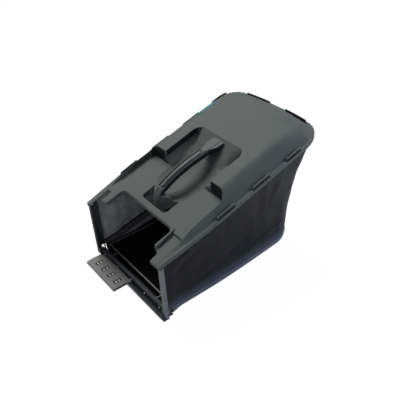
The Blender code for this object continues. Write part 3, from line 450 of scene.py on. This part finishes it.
def clothMaterial(name, look):
    material, tree, shader = startMaterial(name)
    threads = useGroup(tree, "weave", Thread_Pitch=look["pitch"])
    settled = useGroup(tree, "dust", Amount=look["dust"])
    tone = blendColour(tree, spread(tree, threads.outputs["Slub"], 0.0, 1.0), look["dark"], look["light"])
    gapped = blendColour(tree, maths(tree, "MULTIPLY", threads.outputs["Gap"], look["gap"]), tone,
                         look["gapColour"])
    dusty = blendColour(tree, settled.outputs["Mask"], gapped, look["dustColour"])
    if "bands" in look:
        place = tree.nodes.new("ShaderNodeTexCoord").outputs["Object"]
        split = tree.nodes.new("ShaderNodeSeparateXYZ")
        tree.links.new(place, split.inputs["Vector"])
        for band in look["bands"]:
            mask = bandMask(tree, split, band)
            dusty = blendColour(tree, mask, dusty, band["colour"])
    tree.links.new(dusty, shader.inputs["Base Color"])
    tree.links.new(roughness(tree, threads.outputs["Slub"], look, "clothRough"), shader.inputs["Roughness"])
    tree.links.new(bumpOn(tree, threads.outputs["Height"], look["bump"], surfaceSet["clothDepth"]),
                   shader.inputs["Normal"])
    shader.inputs["Sheen Weight"].default_value = look["sheen"]
    shader.inputs["Sheen Roughness"].default_value = surfaceSet["sheenRough"]
    shader.inputs["Specular IOR Level"].default_value = look["shine"]
    return material


clothLook = {"pitch": 0.0016, "dark": (0.004, 0.0036, 0.006), "light": (0.014, 0.0126, 0.019), "gap": 0.6,
             "gapColour": (0.004, 0.004, 0.005), "dust": 0.04, "dustColour": (0.10, 0.10, 0.10),
             "rough": 0.60, "bump": 0.35, "sheen": 0.03, "shine": 0.32,
             "bands": [{"slope": 0.0, "low": -0.05, "high": 0.044, "soft": 0.020,
                        "colour": (0.075, 0.088, 0.125)}]}
# the mesh inside, grey with its tone raised to stand in for light shining through it; a dark seam climbs
# towards the rear, with a coated strip and then painted shade below it, near-black towards the bottom
insideLitThroughLook = {"pitch": 0.0022, "dark": (0.30, 0.31, 0.35), "light": (0.82, 0.83, 0.86), "gap": 0.9,
              "gapColour": (0.03, 0.03, 0.04), "dust": 0.05, "dustColour": (0.2, 0.2, 0.2),
              "rough": 0.85, "bump": 0.5, "sheen": 0.1, "shine": 0.25,
              "bands": [{"slope": 0.245, "low": 0.070, "high": 0.0945, "soft": 0.0012,
                         "colour": (0.17, 0.165, 0.185)},
                        {"slope": 0.245, "low": 0.0930, "high": 0.0995, "soft": 0.0012,
                         "colour": (0.010, 0.010, 0.012)},
                        {"slope": 0.155, "low": -0.3, "high": 0.0445, "soft": 0.0016,
                         "colour": (0.006, 0.006, 0.007)}]}
# near-black inside of the bag floor and its cut edge: painted shade, far darker than the coated bottom's
# outside
floorShadeLook = {"pitch": 0.0014, "dark": (0.004, 0.004, 0.005), "light": (0.007, 0.007, 0.008), "gap": 0.2,
            "gapColour": (0.002, 0.002, 0.002), "dust": 0.02, "dustColour": (0.05, 0.05, 0.05),
            "rough": 0.9, "bump": 0.2, "sheen": 0.0, "shine": 0.1}
baseLook = {"pitch": 0.0014, "dark": (0.115, 0.132, 0.172), "light": (0.150, 0.168, 0.212), "gap": 0.2,
            "gapColour": (0.02, 0.02, 0.03), "dust": 0.10, "dustColour": (0.16, 0.16, 0.16),
            "rough": 0.55, "bump": 0.2, "sheen": 0.10, "shine": 0.45}

finishes = {
    "cover": mouldedPlastic("coverPlastic", coverLook),
    "grip": mouldedPlastic("gripPlastic", gripLook),
    "insert": mouldedPlastic("insertPlastic", insertLook),
    "paintedShade": mouldedPlastic("paintedShadePlastic", paintedShadeLook),
    "frame": mouldedPlastic("framePlastic", frameLook),
    "post": mouldedPlastic("postLitPlastic", postLitLook),
    "tab": mouldedPlastic("tabPlastic", tabLook),
    "pad": mouldedPlastic("padPlastic", padLook),
    "edge": mouldedPlastic("sillEdgeHighlight", edgeHighlightLook),
    "clip": mouldedPlastic("clipPlastic", clipLook),
    "strip": mouldedPlastic("stripColour", stripLook),
    "wire": metalMaterial("wireMetal", wireLook),
    "rivet": metalMaterial("rivetMetal", rivetLook),
    "cloth": clothMaterial("bagCloth", clothLook),
    "inside": clothMaterial("bagInside", insideLitThroughLook),
    "base": clothMaterial("baseCloth", baseLook),
    "dark": clothMaterial("baseInsideShade", floorShadeLook),
}
print("materials made:", len(finishes))


# Moulded pieces


def easeStep(value):
    value = min(1.0, max(0.0, value))
    return value * value * (3.0 - 2.0 * value)


def between(first, second, share):
    return first + (second - first) * share


# lengths run from the mouth, which lies at -originY in the frame; the cover's plane climbs from its front
planeSet = {"originY": 0.266, "frontHeight": 0.198, "slope": math.tan(math.radians(17.0))}
coverSet = {
    "wall": 0.0025,
    "humpHeight": 0.042,
    "deckHeight": 0.0046,
    "cornerPlace": (0.146, 0.524),  # where the raised top's rear corners would stand up too sharply
    "cornerReach": 0.048,
    "cornerDrop": 0.010,
    "recessHalf": 0.1038,
    "slopeFoot": 0.074,  # the recess floor climbs from here to its side walls
    "slopeRise": 0.021,
    "recessFront": 0.2365,
    "recessRear": 0.357,
    "recessTop": 0.03,
    "underside": -0.2,  # a normal that points further down than this is the shell's inner side
}
broadSet = {"half": 0.188, "front": 0.385, "rear": 0.570, "foot": 0.008, "fade": 0.014, "passes": 220}


def softenCover(x, y, z, upward):
    # how far the vertex rises: the rear corners come down and the recess floor climbs to its side walls
    along = y + planeSet["originY"]
    plane = planeSet["frontHeight"] + planeSet["slope"] * along
    height = z - plane + (0.0 if upward else coverSet["wall"])
    cornerX, cornerY = coverSet["cornerPlace"]
    away = ((abs(x) - cornerX) ** 2 + (along - cornerY) ** 2) / coverSet["cornerReach"] ** 2
    share = min(1.0, max(0.0, height / coverSet["humpHeight"]))
    rise = -coverSet["cornerDrop"] * math.exp(-away) * share
    inside = coverSet["slopeFoot"] < abs(x) < coverSet["recessHalf"] and height < coverSet["recessTop"]
    if inside and coverSet["recessFront"] < along < coverSet["recessRear"]:
        climb = (abs(x) - coverSet["slopeFoot"]) / (coverSet["recessHalf"] - coverSet["slopeFoot"])
        rise += max(0.0, coverSet["deckHeight"] + coverSet["slopeRise"] * climb - height)
    return rise


def reshaped(mesh, rule):
    # read every place and normal first: a moved vertex makes Blender work out all the normals again
    count = len(mesh.vertices)
    places = [0.0] * (count * 3)
    mesh.vertices.foreach_get("co", places)
    normals = [0.0] * (count * 3)
    mesh.vertices.foreach_get("normal", normals)
    for index in range(0, count * 3, 3):
        x, y, z = places[index:index + 3]
        places[index + 2] = z + rule(x, y, z, normals[index + 2] > coverSet["underside"])
    mesh.vertices.foreach_set("co", places)
    mesh.update()


def broadShare(x, y, z):
    # 1 on the raised top's rear half and its rolled flanks, 0 near the rim and the recess
    along = y + planeSet["originY"]
    height = z - planeSet["frontHeight"] - planeSet["slope"] * along
    clear = min(broadSet["half"] - abs(x), broadSet["rear"] - along, along - broadSet["front"],
                height - broadSet["foot"])
    return easeStep(clear / broadSet["fade"])


# where faces get the near-black painted shade: the raised top's front step faces, the recess's left wall, a
# painted shadow line by the rail, and the grip's flanks and grooves
paintedShadeSet = {
    "stepFront": 0.222,  # the raised top's front faces, beside the handle recess
    "stepRear": 0.262,
    "stepInner": 0.109,
    "stepFacing": -0.55,
    "wallFront": 0.240,  # the recess's left wall
    "wallRear": 0.356,
    "wallInner": -0.09,
    "wallFacing": 0.60,
    "shadowLineStart": Vector((0.1355, 0.036)),  # painted shadow line at the foot of the rail round the mouth
    "shadowLineEnd": Vector((0.1268, 0.107)),
    "shadowLineHalf": 0.0017,
    "shadowLineSides": (0.120, 0.140),
    "shadowLineReach": (0.03, 0.115),
    "grooveInner": 0.0074,  # the grooves beside the grip's inset strip
    "grooveOuter": 0.0110,
    "grooveFront": 0.150,
    "grooveRear": 0.300,
    "flankFacing": 0.5,
    "upFacing": 0.2,
}


# painted shade on the step faces and the recess's left wall, and a thin painted shadow line along the foot
# of the rail
def paintedShadeOnCover(place, normal):
    along = place.y + planeSet["originY"]
    if paintedShadeSet["stepFront"] < along < paintedShadeSet["stepRear"] and abs(place.x) > paintedShadeSet["stepInner"]:
        return normal.y < paintedShadeSet["stepFacing"]
    if place.x < paintedShadeSet["wallInner"] and paintedShadeSet["wallFront"] < along < paintedShadeSet["wallRear"]:
        return normal.x > paintedShadeSet["wallFacing"]
    left, right = paintedShadeSet["shadowLineSides"]
    front, rear = paintedShadeSet["shadowLineReach"]
    if left < place.x < right and front < along < rear and normal.z > paintedShadeSet["upFacing"]:
        run = paintedShadeSet["shadowLineEnd"] - paintedShadeSet["shadowLineStart"]
        offset = Vector((place.x, along)) - paintedShadeSet["shadowLineStart"]
        share = min(1.0, max(0.0, offset.dot(run) / run.length_squared))
        return (offset - run * share).length < paintedShadeSet["shadowLineHalf"]
    return False


def paintedShadeOnGrip(place, normal):
    # painted shade on the flanks and in the two grooves beside the inset strip
    if abs(normal.x) > paintedShadeSet["flankFacing"]:
        return True
    along = place.y + planeSet["originY"]
    beside = paintedShadeSet["grooveInner"] < abs(place.x) < paintedShadeSet["grooveOuter"]
    within = paintedShadeSet["grooveFront"] < along < paintedShadeSet["grooveRear"]
    return beside and within and normal.z > paintedShadeSet["upFacing"]


mouldings = {
    "top_cover": {"piece": "coverShell", "voxel": 0.00155, "smooth": 5, "faces": 92000, "finish": "cover",
                  "slot": "cover_plastic", "reshape": softenCover, "broad": broadShare,
                  "paintedShadeWhere": paintedShadeOnCover},
    "carry_handle": {"piece": "carryGrip", "voxel": 0.0009, "smooth": 5, "faces": 40000, "finish": "grip",
                     "slot": "grip_plastic", "paintedShadeWhere": paintedShadeOnGrip},
    "guide_tab": {"piece": "guideTab", "voxel": 0.0007, "smooth": 3, "faces": 40000, "finish": "tab",
                  "slot": "tab_plastic"},
}


def newPiece(name, mesh, finishNames):
    piece = bpy.data.objects.new(name, mesh)
    bpy.context.scene.collection.objects.link(piece)
    for finish in finishNames:
        mesh.materials.append(finishes[finish])
    return piece


def workedIn(piece):
    # the piece's mesh as its modifiers leave it, which takes the old mesh's place
    graph = bpy.context.evaluated_depsgraph_get()
    mesh = bpy.data.meshes.new_from_object(piece.evaluated_get(graph))
    piece.modifiers.clear()
    piece.vertex_groups.clear()
    piece.data = mesh
    return mesh


def roundedMoulding(nodeName, look):
    # a fine, softened copy of the solid: every corner gets the small radius of a moulding
    piece = newPiece(look["piece"], nodes[nodeName].data.copy(), ())
    remesh = piece.modifiers.new("even", "REMESH")
    remesh.mode = "VOXEL"
    remesh.voxel_size = look["voxel"]
    soften = piece.modifiers.new("soften", "SMOOTH")
    soften.factor = 0.5
    soften.iterations = look["smooth"]
    mesh = workedIn(piece)
    if "broad" in look:
        group = piece.vertex_groups.new(name="broad")
        for vertex in mesh.vertices:
            share = look["broad"](*vertex.co)
            if share > 0.0:
                group.add([vertex.index], share, "REPLACE")
        calm = piece.modifiers.new("calm", "SMOOTH")
        calm.factor = 0.5
        calm.iterations = broadSet["passes"]
        calm.vertex_group = "broad"
        mesh = workedIn(piece)
    if len(mesh.polygons) > look["faces"]:
        thin = piece.modifiers.new("thin", "DECIMATE")
        thin.ratio = look["faces"] / len(mesh.polygons)
        mesh = workedIn(piece)
    if "reshape" in look:
        reshaped(mesh, look["reshape"])
    mesh.materials.clear()
    mesh.materials.append(finishes[look["finish"]])
    # faces where shade falls get the near-black painted shade as a second material
    if "paintedShadeWhere" in look:
        mesh.materials.append(finishes["paintedShade"])
        for face in mesh.polygons:
            if look["paintedShadeWhere"](face.center, face.normal):
                face.material_index = 1
    mesh.shade_smooth()
    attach(piece, "root")
    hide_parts(nodeName)
    print("moulded", look["piece"], len(mesh.polygons))


for nodeName, look in mouldings.items():
    roundedMoulding(nodeName, look)


# Rigid solids that stay, with small bevels

bevelWidths = {"frame": 0.0006, "post": 0.0006, "clip": 0.0005, "insert": 0.0006, "strip": 0.0002}
bevelAngle = math.radians(35)


def finishFor(name):
    if name.startswith("bag_clip"):
        return "clip"
    if name.startswith("sill_rivet"):
        return "rivet"
    plain = {"right_post": "post", "grip_insert": "insert", "wire_frame": "wire", "side_strip": "strip",
             "bag_wall": "cloth", "bag_base": "base", "top_cover": "cover", "carry_handle": "grip",
             "guide_tab": "tab"}
    return plain.get(name, "frame")


def dressSolids():
    for name, node in nodes.items():
        finish = finishFor(name)
        for slot in node.material_slots:
            slot.material = finishes[finish]
        if name in mouldings or name in ("bag_wall", "bag_base"):
            continue
        if finish in bevelWidths:
            bevel = node.modifiers.new("edge", "BEVEL")
            bevel.width = bevelWidths[finish]
            bevel.segments = 2
            bevel.limit_method = "ANGLE"
            bevel.angle_limit = bevelAngle
        node.modifiers.new("even", "WEIGHTED_NORMAL").keep_sharp = True


dressSolids()
print("solids dressed")


# Cloth bag

bagSet = {
    "baseWidth": 0.380,
    "rimFront": -0.004,
    "rimHalfFront": 0.188,
    "rimHalf": 0.2005,
    "rimFlare": 0.22,
    "rimRear": 0.582,
    "rimCorner": 0.070,
    "rimBow": 0.006,
    "topInset": 0.0032,
    "mouthInset": 0.0065,
    "baseHalf": 0.1775,
    "baseTaper": 0.014,
    "baseRear": 0.530,
    "baseCorner": 0.090,
    "flareStart": 0.0137,  # the base draws in a little behind the mouth
    "flareRun": 0.045,
    "taperStart": 0.17,
    "taperRun": 0.25,
    "taperPower": 1.5,
    "sideSpacing": 1.35,  # columns stand closer near the mouth
    "probe": 0.01,
    "underCover": 0.0030,
    "lean": 2.2,
    "front": 0.0103,
    "seamHeight": 0.0243,
    "thickness": 0.0010,
    "columns": 300,
    "rows": 60,
}


def rimHalfAt(y):
    share = easeStep(0.5 + (y - bagSet["rimFront"]) / (2.0 * bagSet["rimFlare"])) * 2.0 - 1.0
    return between(bagSet["rimHalfFront"], bagSet["rimHalf"], share)


def baseHalfAt(y):
    full = bagSet["baseWidth"] / 2 - bagSet["mouthInset"]
    drawIn = easeStep((y - bagSet["front"] - bagSet["flareStart"]) / bagSet["flareRun"])
    drawn = between(full, bagSet["baseHalf"], drawIn)
    behind = max(0.0, (y - bagSet["taperStart"]) / bagSet["taperRun"])
    return drawn - bagSet["baseTaper"] * behind ** bagSet["taperPower"]


def outlineAt(place, front, rear, corner, bow, halfAt):
    # place runs 0 to 6: right side, right corner, rear, left corner, left side
    mirrored = place > 3.0
    step = 6.0 - place if mirrored else place
    cornerY = rear - corner
    straight = halfAt(cornerY) - corner
    if step < 1.0:
        y = between(front, cornerY, step ** bagSet["sideSpacing"])
        x = halfAt(y)
    elif step < 2.0:
        turn = (step - 1.0) * math.pi / 2
        x = straight + corner * math.cos(turn)
        y = cornerY + corner * math.sin(turn)
    else:
        x = straight * (3.0 - step)
        y = rear + bow * (1.0 - (x / straight) ** 2)
    return Vector((-x if mirrored else x, y))


def rimAt(place, front):
    return outlineAt(place, front, bagSet["rimRear"], bagSet["rimCorner"], bagSet["rimBow"], rimHalfAt)


def baseAt(place, front):
    return outlineAt(place, front, bagSet["baseRear"], bagSet["baseCorner"], 0.0, baseHalfAt)


def inwardAt(outline, place, front):
    before = outline(max(place - bagSet["probe"], 0.0), front)
    after = outline(min(place + bagSet["probe"], 6.0), front)
    along = (after - before).normalized()
    return Vector((-along.y, along.x))


def bagTopAt(y):
    return planeSet["frontHeight"] + planeSet["slope"] * y - bagSet["underCover"]


def bagPoint(place, share):
    # a point of the smooth, unwrinkled wall and the direction out of it
    front = bagSet["front"]
    base = baseAt(place, front)
    inward = inwardAt(rimAt, place, front)
    top = rimAt(place, front) + inward * bagSet["topInset"]
    high = bagTopAt(top.y)
    level = between(bagSet["seamHeight"], high, share)
    lean = (level / high) ** bagSet["lean"]
    flat = base.lerp(top, lean)
    return Vector((flat.x, flat.y, level)), Vector((-inward.x, -inward.y, 0.0))


# each fold: side of the bag, start and end as (along, height) in metres, depth and width
bagFolds = [
    ("right", (0.030, 0.165), (0.105, 0.205), 0.0022, 0.009),
    ("right", (0.035, 0.135), (0.130, 0.190), -0.0020, 0.011),
    ("right", (0.085, 0.040), (0.230, 0.085), 0.0026, 0.012),
    ("right", (0.110, 0.050), (0.300, 0.120), -0.0022, 0.016),
    ("right", (0.300, 0.060), (0.470, 0.090), 0.0024, 0.010),
    ("right", (0.215, 0.245), (0.225, 0.120), -0.0016, 0.008),
    ("right", (0.345, 0.285), (0.360, 0.150), -0.0018, 0.009),
    ("right", (0.430, 0.300), (0.400, 0.160), 0.0018, 0.010),
    ("left", (0.060, 0.050), (0.190, 0.085), 0.0024, 0.010),
    ("left", (0.210, 0.240), (0.200, 0.110), -0.0020, 0.010),
    ("left", (0.340, 0.280), (0.330, 0.140), 0.0018, 0.010),
    ("left", (0.120, 0.060), (0.330, 0.110), -0.0020, 0.014),
    ("rear", (-0.130, 0.330), (-0.110, 0.120), 0.0024, 0.012),
    ("rear", (-0.030, 0.340), (-0.040, 0.140), -0.0022, 0.012),
    ("rear", (0.050, 0.340), (0.060, 0.120), 0.0022, 0.012),
    ("rear", (0.120, 0.330), (0.100, 0.100), -0.0020, 0.012),
]


wrinkleSet = {
    "rearStart": 0.50,
    "taper": (0.12, 0.76),  # where on a half wave a fold starts, and how much of it the fold runs over
    "foldGain": 1.7,
    "broadScale": (20, 20, 9),
    "broadDepth": 0.0034,
    "fineScale": (60, 60, 26),
    "fineShift": 7,
    "fineDepth": 0.0011,
    "holdLow": 0.05,  # the seams and the ends at the mouth hold the cloth flat
    "holdHigh": 0.10,
    "holdEnds": 0.10,
}


def foldDepth(point):
    depth = 0.0
    side = "rear" if point.y > wrinkleSet["rearStart"] else ("right" if point.x > 0 else "left")
    along = point.x if side == "rear" else point.y
    for name, start, end, height, width in bagFolds:
        if name != side:
            continue
        run = Vector((end[0] - start[0], end[1] - start[1]))
        offset = Vector((along - start[0], point.z - start[1]))
        share = min(1.0, max(0.0, offset.dot(run) / run.length_squared))
        distance = (offset - run * share).length
        taper = math.sin(math.pi * (wrinkleSet["taper"][0] + wrinkleSet["taper"][1] * share))
        depth += height * taper * math.exp(-(distance / width) ** 2)
    return depth


def wrinkleAt(point, share, place):
    broad, fine = wrinkleSet["broadScale"], wrinkleSet["fineScale"]
    broadSpot = Vector((point.x * broad[0], point.y * broad[1], point.z * broad[2]))
    fineSpot = Vector((point.x * fine[0] + wrinkleSet["fineShift"], point.y * fine[1], point.z * fine[2]))
    wave = noise.noise(broadSpot) * wrinkleSet["broadDepth"]
    wave += noise.noise(fineSpot) * wrinkleSet["fineDepth"]
    wave += foldDepth(point) * wrinkleSet["foldGain"]
    hold = easeStep(share / wrinkleSet["holdLow"]) * easeStep((1.0 - share) / wrinkleSet["holdHigh"])
    hold *= easeStep(place / wrinkleSet["holdEnds"]) * easeStep((6.0 - place) / wrinkleSet["holdEnds"])
    return wave * hold


def makeBagWall():
    columns, rows = bagSet["columns"], bagSet["rows"]
    shape = bmesh.new()
    uvLayer = shape.loops.layers.uv.new("clothMetres")
    grid = []
    spots = []
    lengths = [0.0]
    previous = None
    for column in range(columns + 1):
        place = 6.0 * column / columns
        line = []
        for row in range(rows + 1):
            share = row / rows
            point, outward = bagPoint(place, share)
            moved = point + outward * wrinkleAt(point, share, place)
            line.append(shape.verts.new((moved.x, moved.y - planeSet["originY"], moved.z)))
            if row == rows:
                if previous is not None:
                    lengths.append(lengths[-1] + (point - previous).length)
                previous = point
        grid.append(line)
        spots.append([bagPoint(place, row / rows)[0].z for row in range(rows + 1)])
    for column in range(columns):
        for row in range(rows):
            corners = (grid[column][row], grid[column + 1][row], grid[column + 1][row + 1],
                       grid[column][row + 1])
            face = shape.faces.new(corners)
            face.smooth = True
            steps = ((column, row), (column + 1, row), (column + 1, row + 1), (column, row + 1))
            for loop, (c, r) in zip(face.loops, steps):
                loop[uvLayer].uv = (lengths[c], spots[c][r])
    mesh = bpy.data.meshes.new("bagCloth")
    shape.normal_update()
    shape.to_mesh(mesh)
    shape.free()
    wall = newPiece("bagCloth", mesh, ("cloth", "inside"))
    thick = wall.modifiers.new("thick", "SOLIDIFY")
    thick.thickness = bagSet["thickness"]
    thick.offset = -1.0
    thick.material_offset = 1
    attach(wall, "root")
    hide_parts("bag_wall")
    area = sum(face.area for face in mesh.polygons)
    print("bag wall", len(mesh.polygons), "area", round(area, 4), "length", round(lengths[-1], 4))
    return wall


floorSet = {"front": 0.0285, "bend": [(0.0, 0.0240), (0.0, 0.0170), (0.0004, 0.0110), (0.0018, 0.0062),
                                      (0.0048, 0.0028), (0.0095, 0.0010), (0.0160, 0.0004)],
            "columns": 260, "thickness": 0.0012}


def makeBagFloor():
    shape = bmesh.new()
    uvLayer = shape.loops.layers.uv.new("clothMetres")
    rings = []
    for inset, level in floorSet["bend"]:
        ring = []
        for column in range(floorSet["columns"] + 1):
            place = 6.0 * column / floorSet["columns"]
            front = floorSet["front"]
            base = baseAt(place, front)
            top = rimAt(place, front) + inwardAt(rimAt, place, front) * bagSet["topInset"]
            lean = (level / bagTopAt(top.y)) ** bagSet["lean"]
            inward = inwardAt(baseAt, place, front)
            flat = base.lerp(top, lean) + inward * inset
            if column in (0, floorSet["columns"]):
                flat.y = front
            ring.append(shape.verts.new((flat.x, max(flat.y, front) - planeSet["originY"], level)))
        rings.append(ring)
    for lower, upper in zip(rings[1:], rings):
        for column in range(floorSet["columns"]):
            face = shape.faces.new((lower[column], lower[column + 1], upper[column + 1], upper[column]))
            face.smooth = True
    shape.faces.new(list(reversed(rings[-1])))
    bmesh.ops.recalc_face_normals(shape, faces=shape.faces)
    bottom = [face for face in shape.faces if len(face.verts) > 4]
    bmesh.ops.triangulate(shape, faces=bottom)
    if sum(face.normal.z * face.calc_area() for face in shape.faces) > 0:
        bmesh.ops.reverse_faces(shape, faces=shape.faces)
    for face in shape.faces:
        for loop in face.loops:
            spot = loop.vert.co
            loop[uvLayer].uv = (spot.x, spot.y + spot.z)
    mesh = bpy.data.meshes.new("bagFloor")
    shape.to_mesh(mesh)
    shape.free()
    floor = newPiece("bagFloor", mesh, ("base", "dark"))
    thick = floor.modifiers.new("thick", "SOLIDIFY")
    thick.thickness = floorSet["thickness"]
    thick.offset = -1.0
    thick.material_offset = 1
    thick.material_offset_rim = 1
    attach(floor, "root")
    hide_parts("bag_base")
    area = sum(face.area for face in mesh.polygons)
    print("bag floor", len(mesh.polygons), "area", round(area, 4))
    return floor


hemSet = {"radius": 0.0013, "height": 0.0243, "sides": 8, "columns": 260, "start": 0.02, "end": 5.98,
          "outset": 0.0004}


def makeHem():
    # piping sewn over the seam between the wall and the coated bottom
    points = []
    faces = []
    sides = hemSet["sides"]
    columns = hemSet["columns"]
    for column in range(columns + 1):
        place = between(hemSet["start"], hemSet["end"], column / columns)
        point, outward = bagPoint(place, 0.0)
        middle = Vector((point.x, point.y - planeSet["originY"], hemSet["height"]))
        middle += outward * hemSet["outset"]
        for side in range(sides):
            turn = 2.0 * math.pi * side / sides
            points.append(middle + outward * hemSet["radius"] * math.cos(turn)
                          + Vector((0, 0, hemSet["radius"] * math.sin(turn))))
    for column in range(columns):
        for side in range(sides):
            following = (side + 1) % sides
            low = column * sides
            faces.append((low + side, low + following, low + sides + following, low + sides + side))
    faces.append(tuple(reversed(range(sides))))
    faces.append(tuple(range(columns * sides, (columns + 1) * sides)))
    mesh = bpy.data.meshes.new("bagHem")
    mesh.from_pydata([tuple(point) for point in points], [], faces)
    mesh.shade_smooth()
    hem = newPiece("bagHem", mesh, ("base",))
    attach(hem, "root")
    return hem


bagWall = makeBagWall()
bagFloor = makeBagFloor()
bagHem = makeHem()
print("bag sewn")


stripSet = {"from": 0.398, "to": 0.468, "low": 0.034, "high": 0.058, "land": 0.009,
            "rollWidth": 0.050, "lift": 0.0006, "thick": 0.0009, "steps": 24, "across": 12,
            "endStart": 0.06, "endRun": 0.88, "endPower": 0.22}


def rollPoint(along, inset, lift):
    # a point on the left roll of the cover, at an inset from the rim
    turn = math.pi / 2 * min(1.0, max(0.0, inset - stripSet["land"]) / stripSet["rollWidth"])
    rise = coverSet["humpHeight"] * math.sin(turn)
    steep = coverSet["humpHeight"] * math.cos(turn) * math.pi / 2 / stripSet["rollWidth"]
    outward = Vector((-steep, -planeSet["slope"], 1.0)).normalized()
    spot = Vector((-(rimHalfAt(along) - inset), along - planeSet["originY"],
                   planeSet["frontHeight"] + planeSet["slope"] * along + rise))
    spot.z += softenCover(*spot, True)
    return spot + outward * lift


def makeSideStrip():
    # the coloured strip laid over the cover's left roll
    shape = bmesh.new()
    steps, across = stripSet["steps"], stripSet["across"]
    layers = []
    for lift in (stripSet["lift"] - stripSet["thick"], stripSet["lift"]):
        rows = []
        for step in range(steps + 1):
            share = step / steps
            along = between(stripSet["from"], stripSet["to"], share)
            wave = math.sin(math.pi * (stripSet["endStart"] + stripSet["endRun"] * share))
            narrow = wave ** stripSet["endPower"]
            centre = (stripSet["low"] + stripSet["high"]) / 2
            half = (stripSet["high"] - stripSet["low"]) / 2 * narrow
            rows.append([shape.verts.new(rollPoint(along, centre - half + 2 * half * k / across, lift))
                         for k in range(across + 1)])
        layers.append(rows)
    under, over = layers
    for step in range(steps):
        for k in range(across):
            shape.faces.new((over[step][k], over[step][k + 1], over[step + 1][k + 1], over[step + 1][k]))
            shape.faces.new((under[step][k], under[step + 1][k], under[step + 1][k + 1], under[step][k + 1]))
    for step in range(steps):
        for k in (0, across):
            shape.faces.new((under[step][k], over[step][k], over[step + 1][k], under[step + 1][k]))
    for k in range(across):
        for step in (0, steps):
            shape.faces.new((under[step][k], over[step][k], over[step][k + 1], under[step][k + 1]))
    bmesh.ops.recalc_face_normals(shape, faces=shape.faces)
    mesh = bpy.data.meshes.new("sideStrip")
    shape.to_mesh(mesh)
    shape.free()
    strip = newPiece("sideStrip", mesh, ("strip",))
    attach(strip, "root")
    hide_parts("side_strip")


makeSideStrip()
print("strip laid")


# Small trim: a dark plate under the tab for painted shade, pads on it, and the folded front edge of the sill
# in a painted highlight

tabShadeSet = {"left": -0.1565, "right": -0.0015, "front": -0.0525, "rear": -0.0035, "low": 0.0052,
              "high": 0.0064, "round": 0.0003}
padSet = {"pitch": 0.03522, "left": -0.160, "first": 0.75, "groups": 4, "inset": 0.0034, "rowStart": -0.0367,
          "rowStep": 0.0105, "rows": 2, "wide": 0.0088, "deep": 0.0062, "low": 0.0100, "high": 0.0132,
          "round": 0.0009}
sillEdge = {"outline": [(-0.004, 0.0004), (0.181, 0.0004), (0.181, 0.0030), (0.072, 0.0030), (0.006, 0.0100),
                        (-0.004, 0.0100)], "front": -0.0102, "rear": -0.0093}


def addBlock(shape, low, high, soften):
    made = bmesh.ops.create_cube(shape, size=1.0)["verts"]
    for vertex in made:
        vertex.co = Vector([between(low[k], high[k], vertex.co[k] + 0.5) for k in range(3)])
    edges = [edge for edge in shape.edges if edge.verts[0] in made]
    bmesh.ops.bevel(shape, geom=edges, offset=soften, segments=2, affect="EDGES")


def trimPiece(name, shape, finish):
    mesh = bpy.data.meshes.new(name)
    bmesh.ops.recalc_face_normals(shape, faces=shape.faces)
    shape.to_mesh(mesh)
    shape.free()
    piece = newPiece(name, mesh, (finish,))
    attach(piece, "root")


def makeTabShadePlate():
    # dark plate that closes the comb slots of the guide tab from below: painted shade where the white floor
    # would show through
    shape = bmesh.new()
    low, high = [(tabShadeSet[x], tabShadeSet[y] - planeSet["originY"], tabShadeSet[z])
                 for x, y, z in (("left", "front", "low"), ("right", "rear", "high"))]
    addBlock(shape, low, high, tabShadeSet["round"])
    trimPiece("tabShadePlate", shape, "frame")


def makeTrim():
    shape = bmesh.new()
    for group in range(padSet["groups"]):
        left = padSet["left"] + padSet["pitch"] * (group + padSet["first"]) + padSet["inset"]
        for row in range(padSet["rows"]):
            front = padSet["rowStart"] + padSet["rowStep"] * row - planeSet["originY"]
            addBlock(shape, (left, front, padSet["low"]),
                     (left + padSet["wide"], front + padSet["deep"], padSet["high"]), padSet["round"])
    trimPiece("tabPads", shape, "pad")

    # the sill's folded front edge, coloured with the pale blue of a painted highlight
    shape = bmesh.new()
    rings = [[shape.verts.new((x, y - planeSet["originY"], z)) for x, z in sillEdge["outline"]]
             for y in (sillEdge["front"], sillEdge["rear"])]
    shape.faces.new(rings[0])
    shape.faces.new(list(reversed(rings[1])))
    count = len(rings[0])
    for k in range(count):
        shape.faces.new((rings[0][k], rings[1][k], rings[1][(k + 1) % count], rings[0][(k + 1) % count]))
    trimPiece("sillEdge", shape, "edge")


makeTabShadePlate()
print("tab shade plate laid")
makeTrim()
print("trim added")
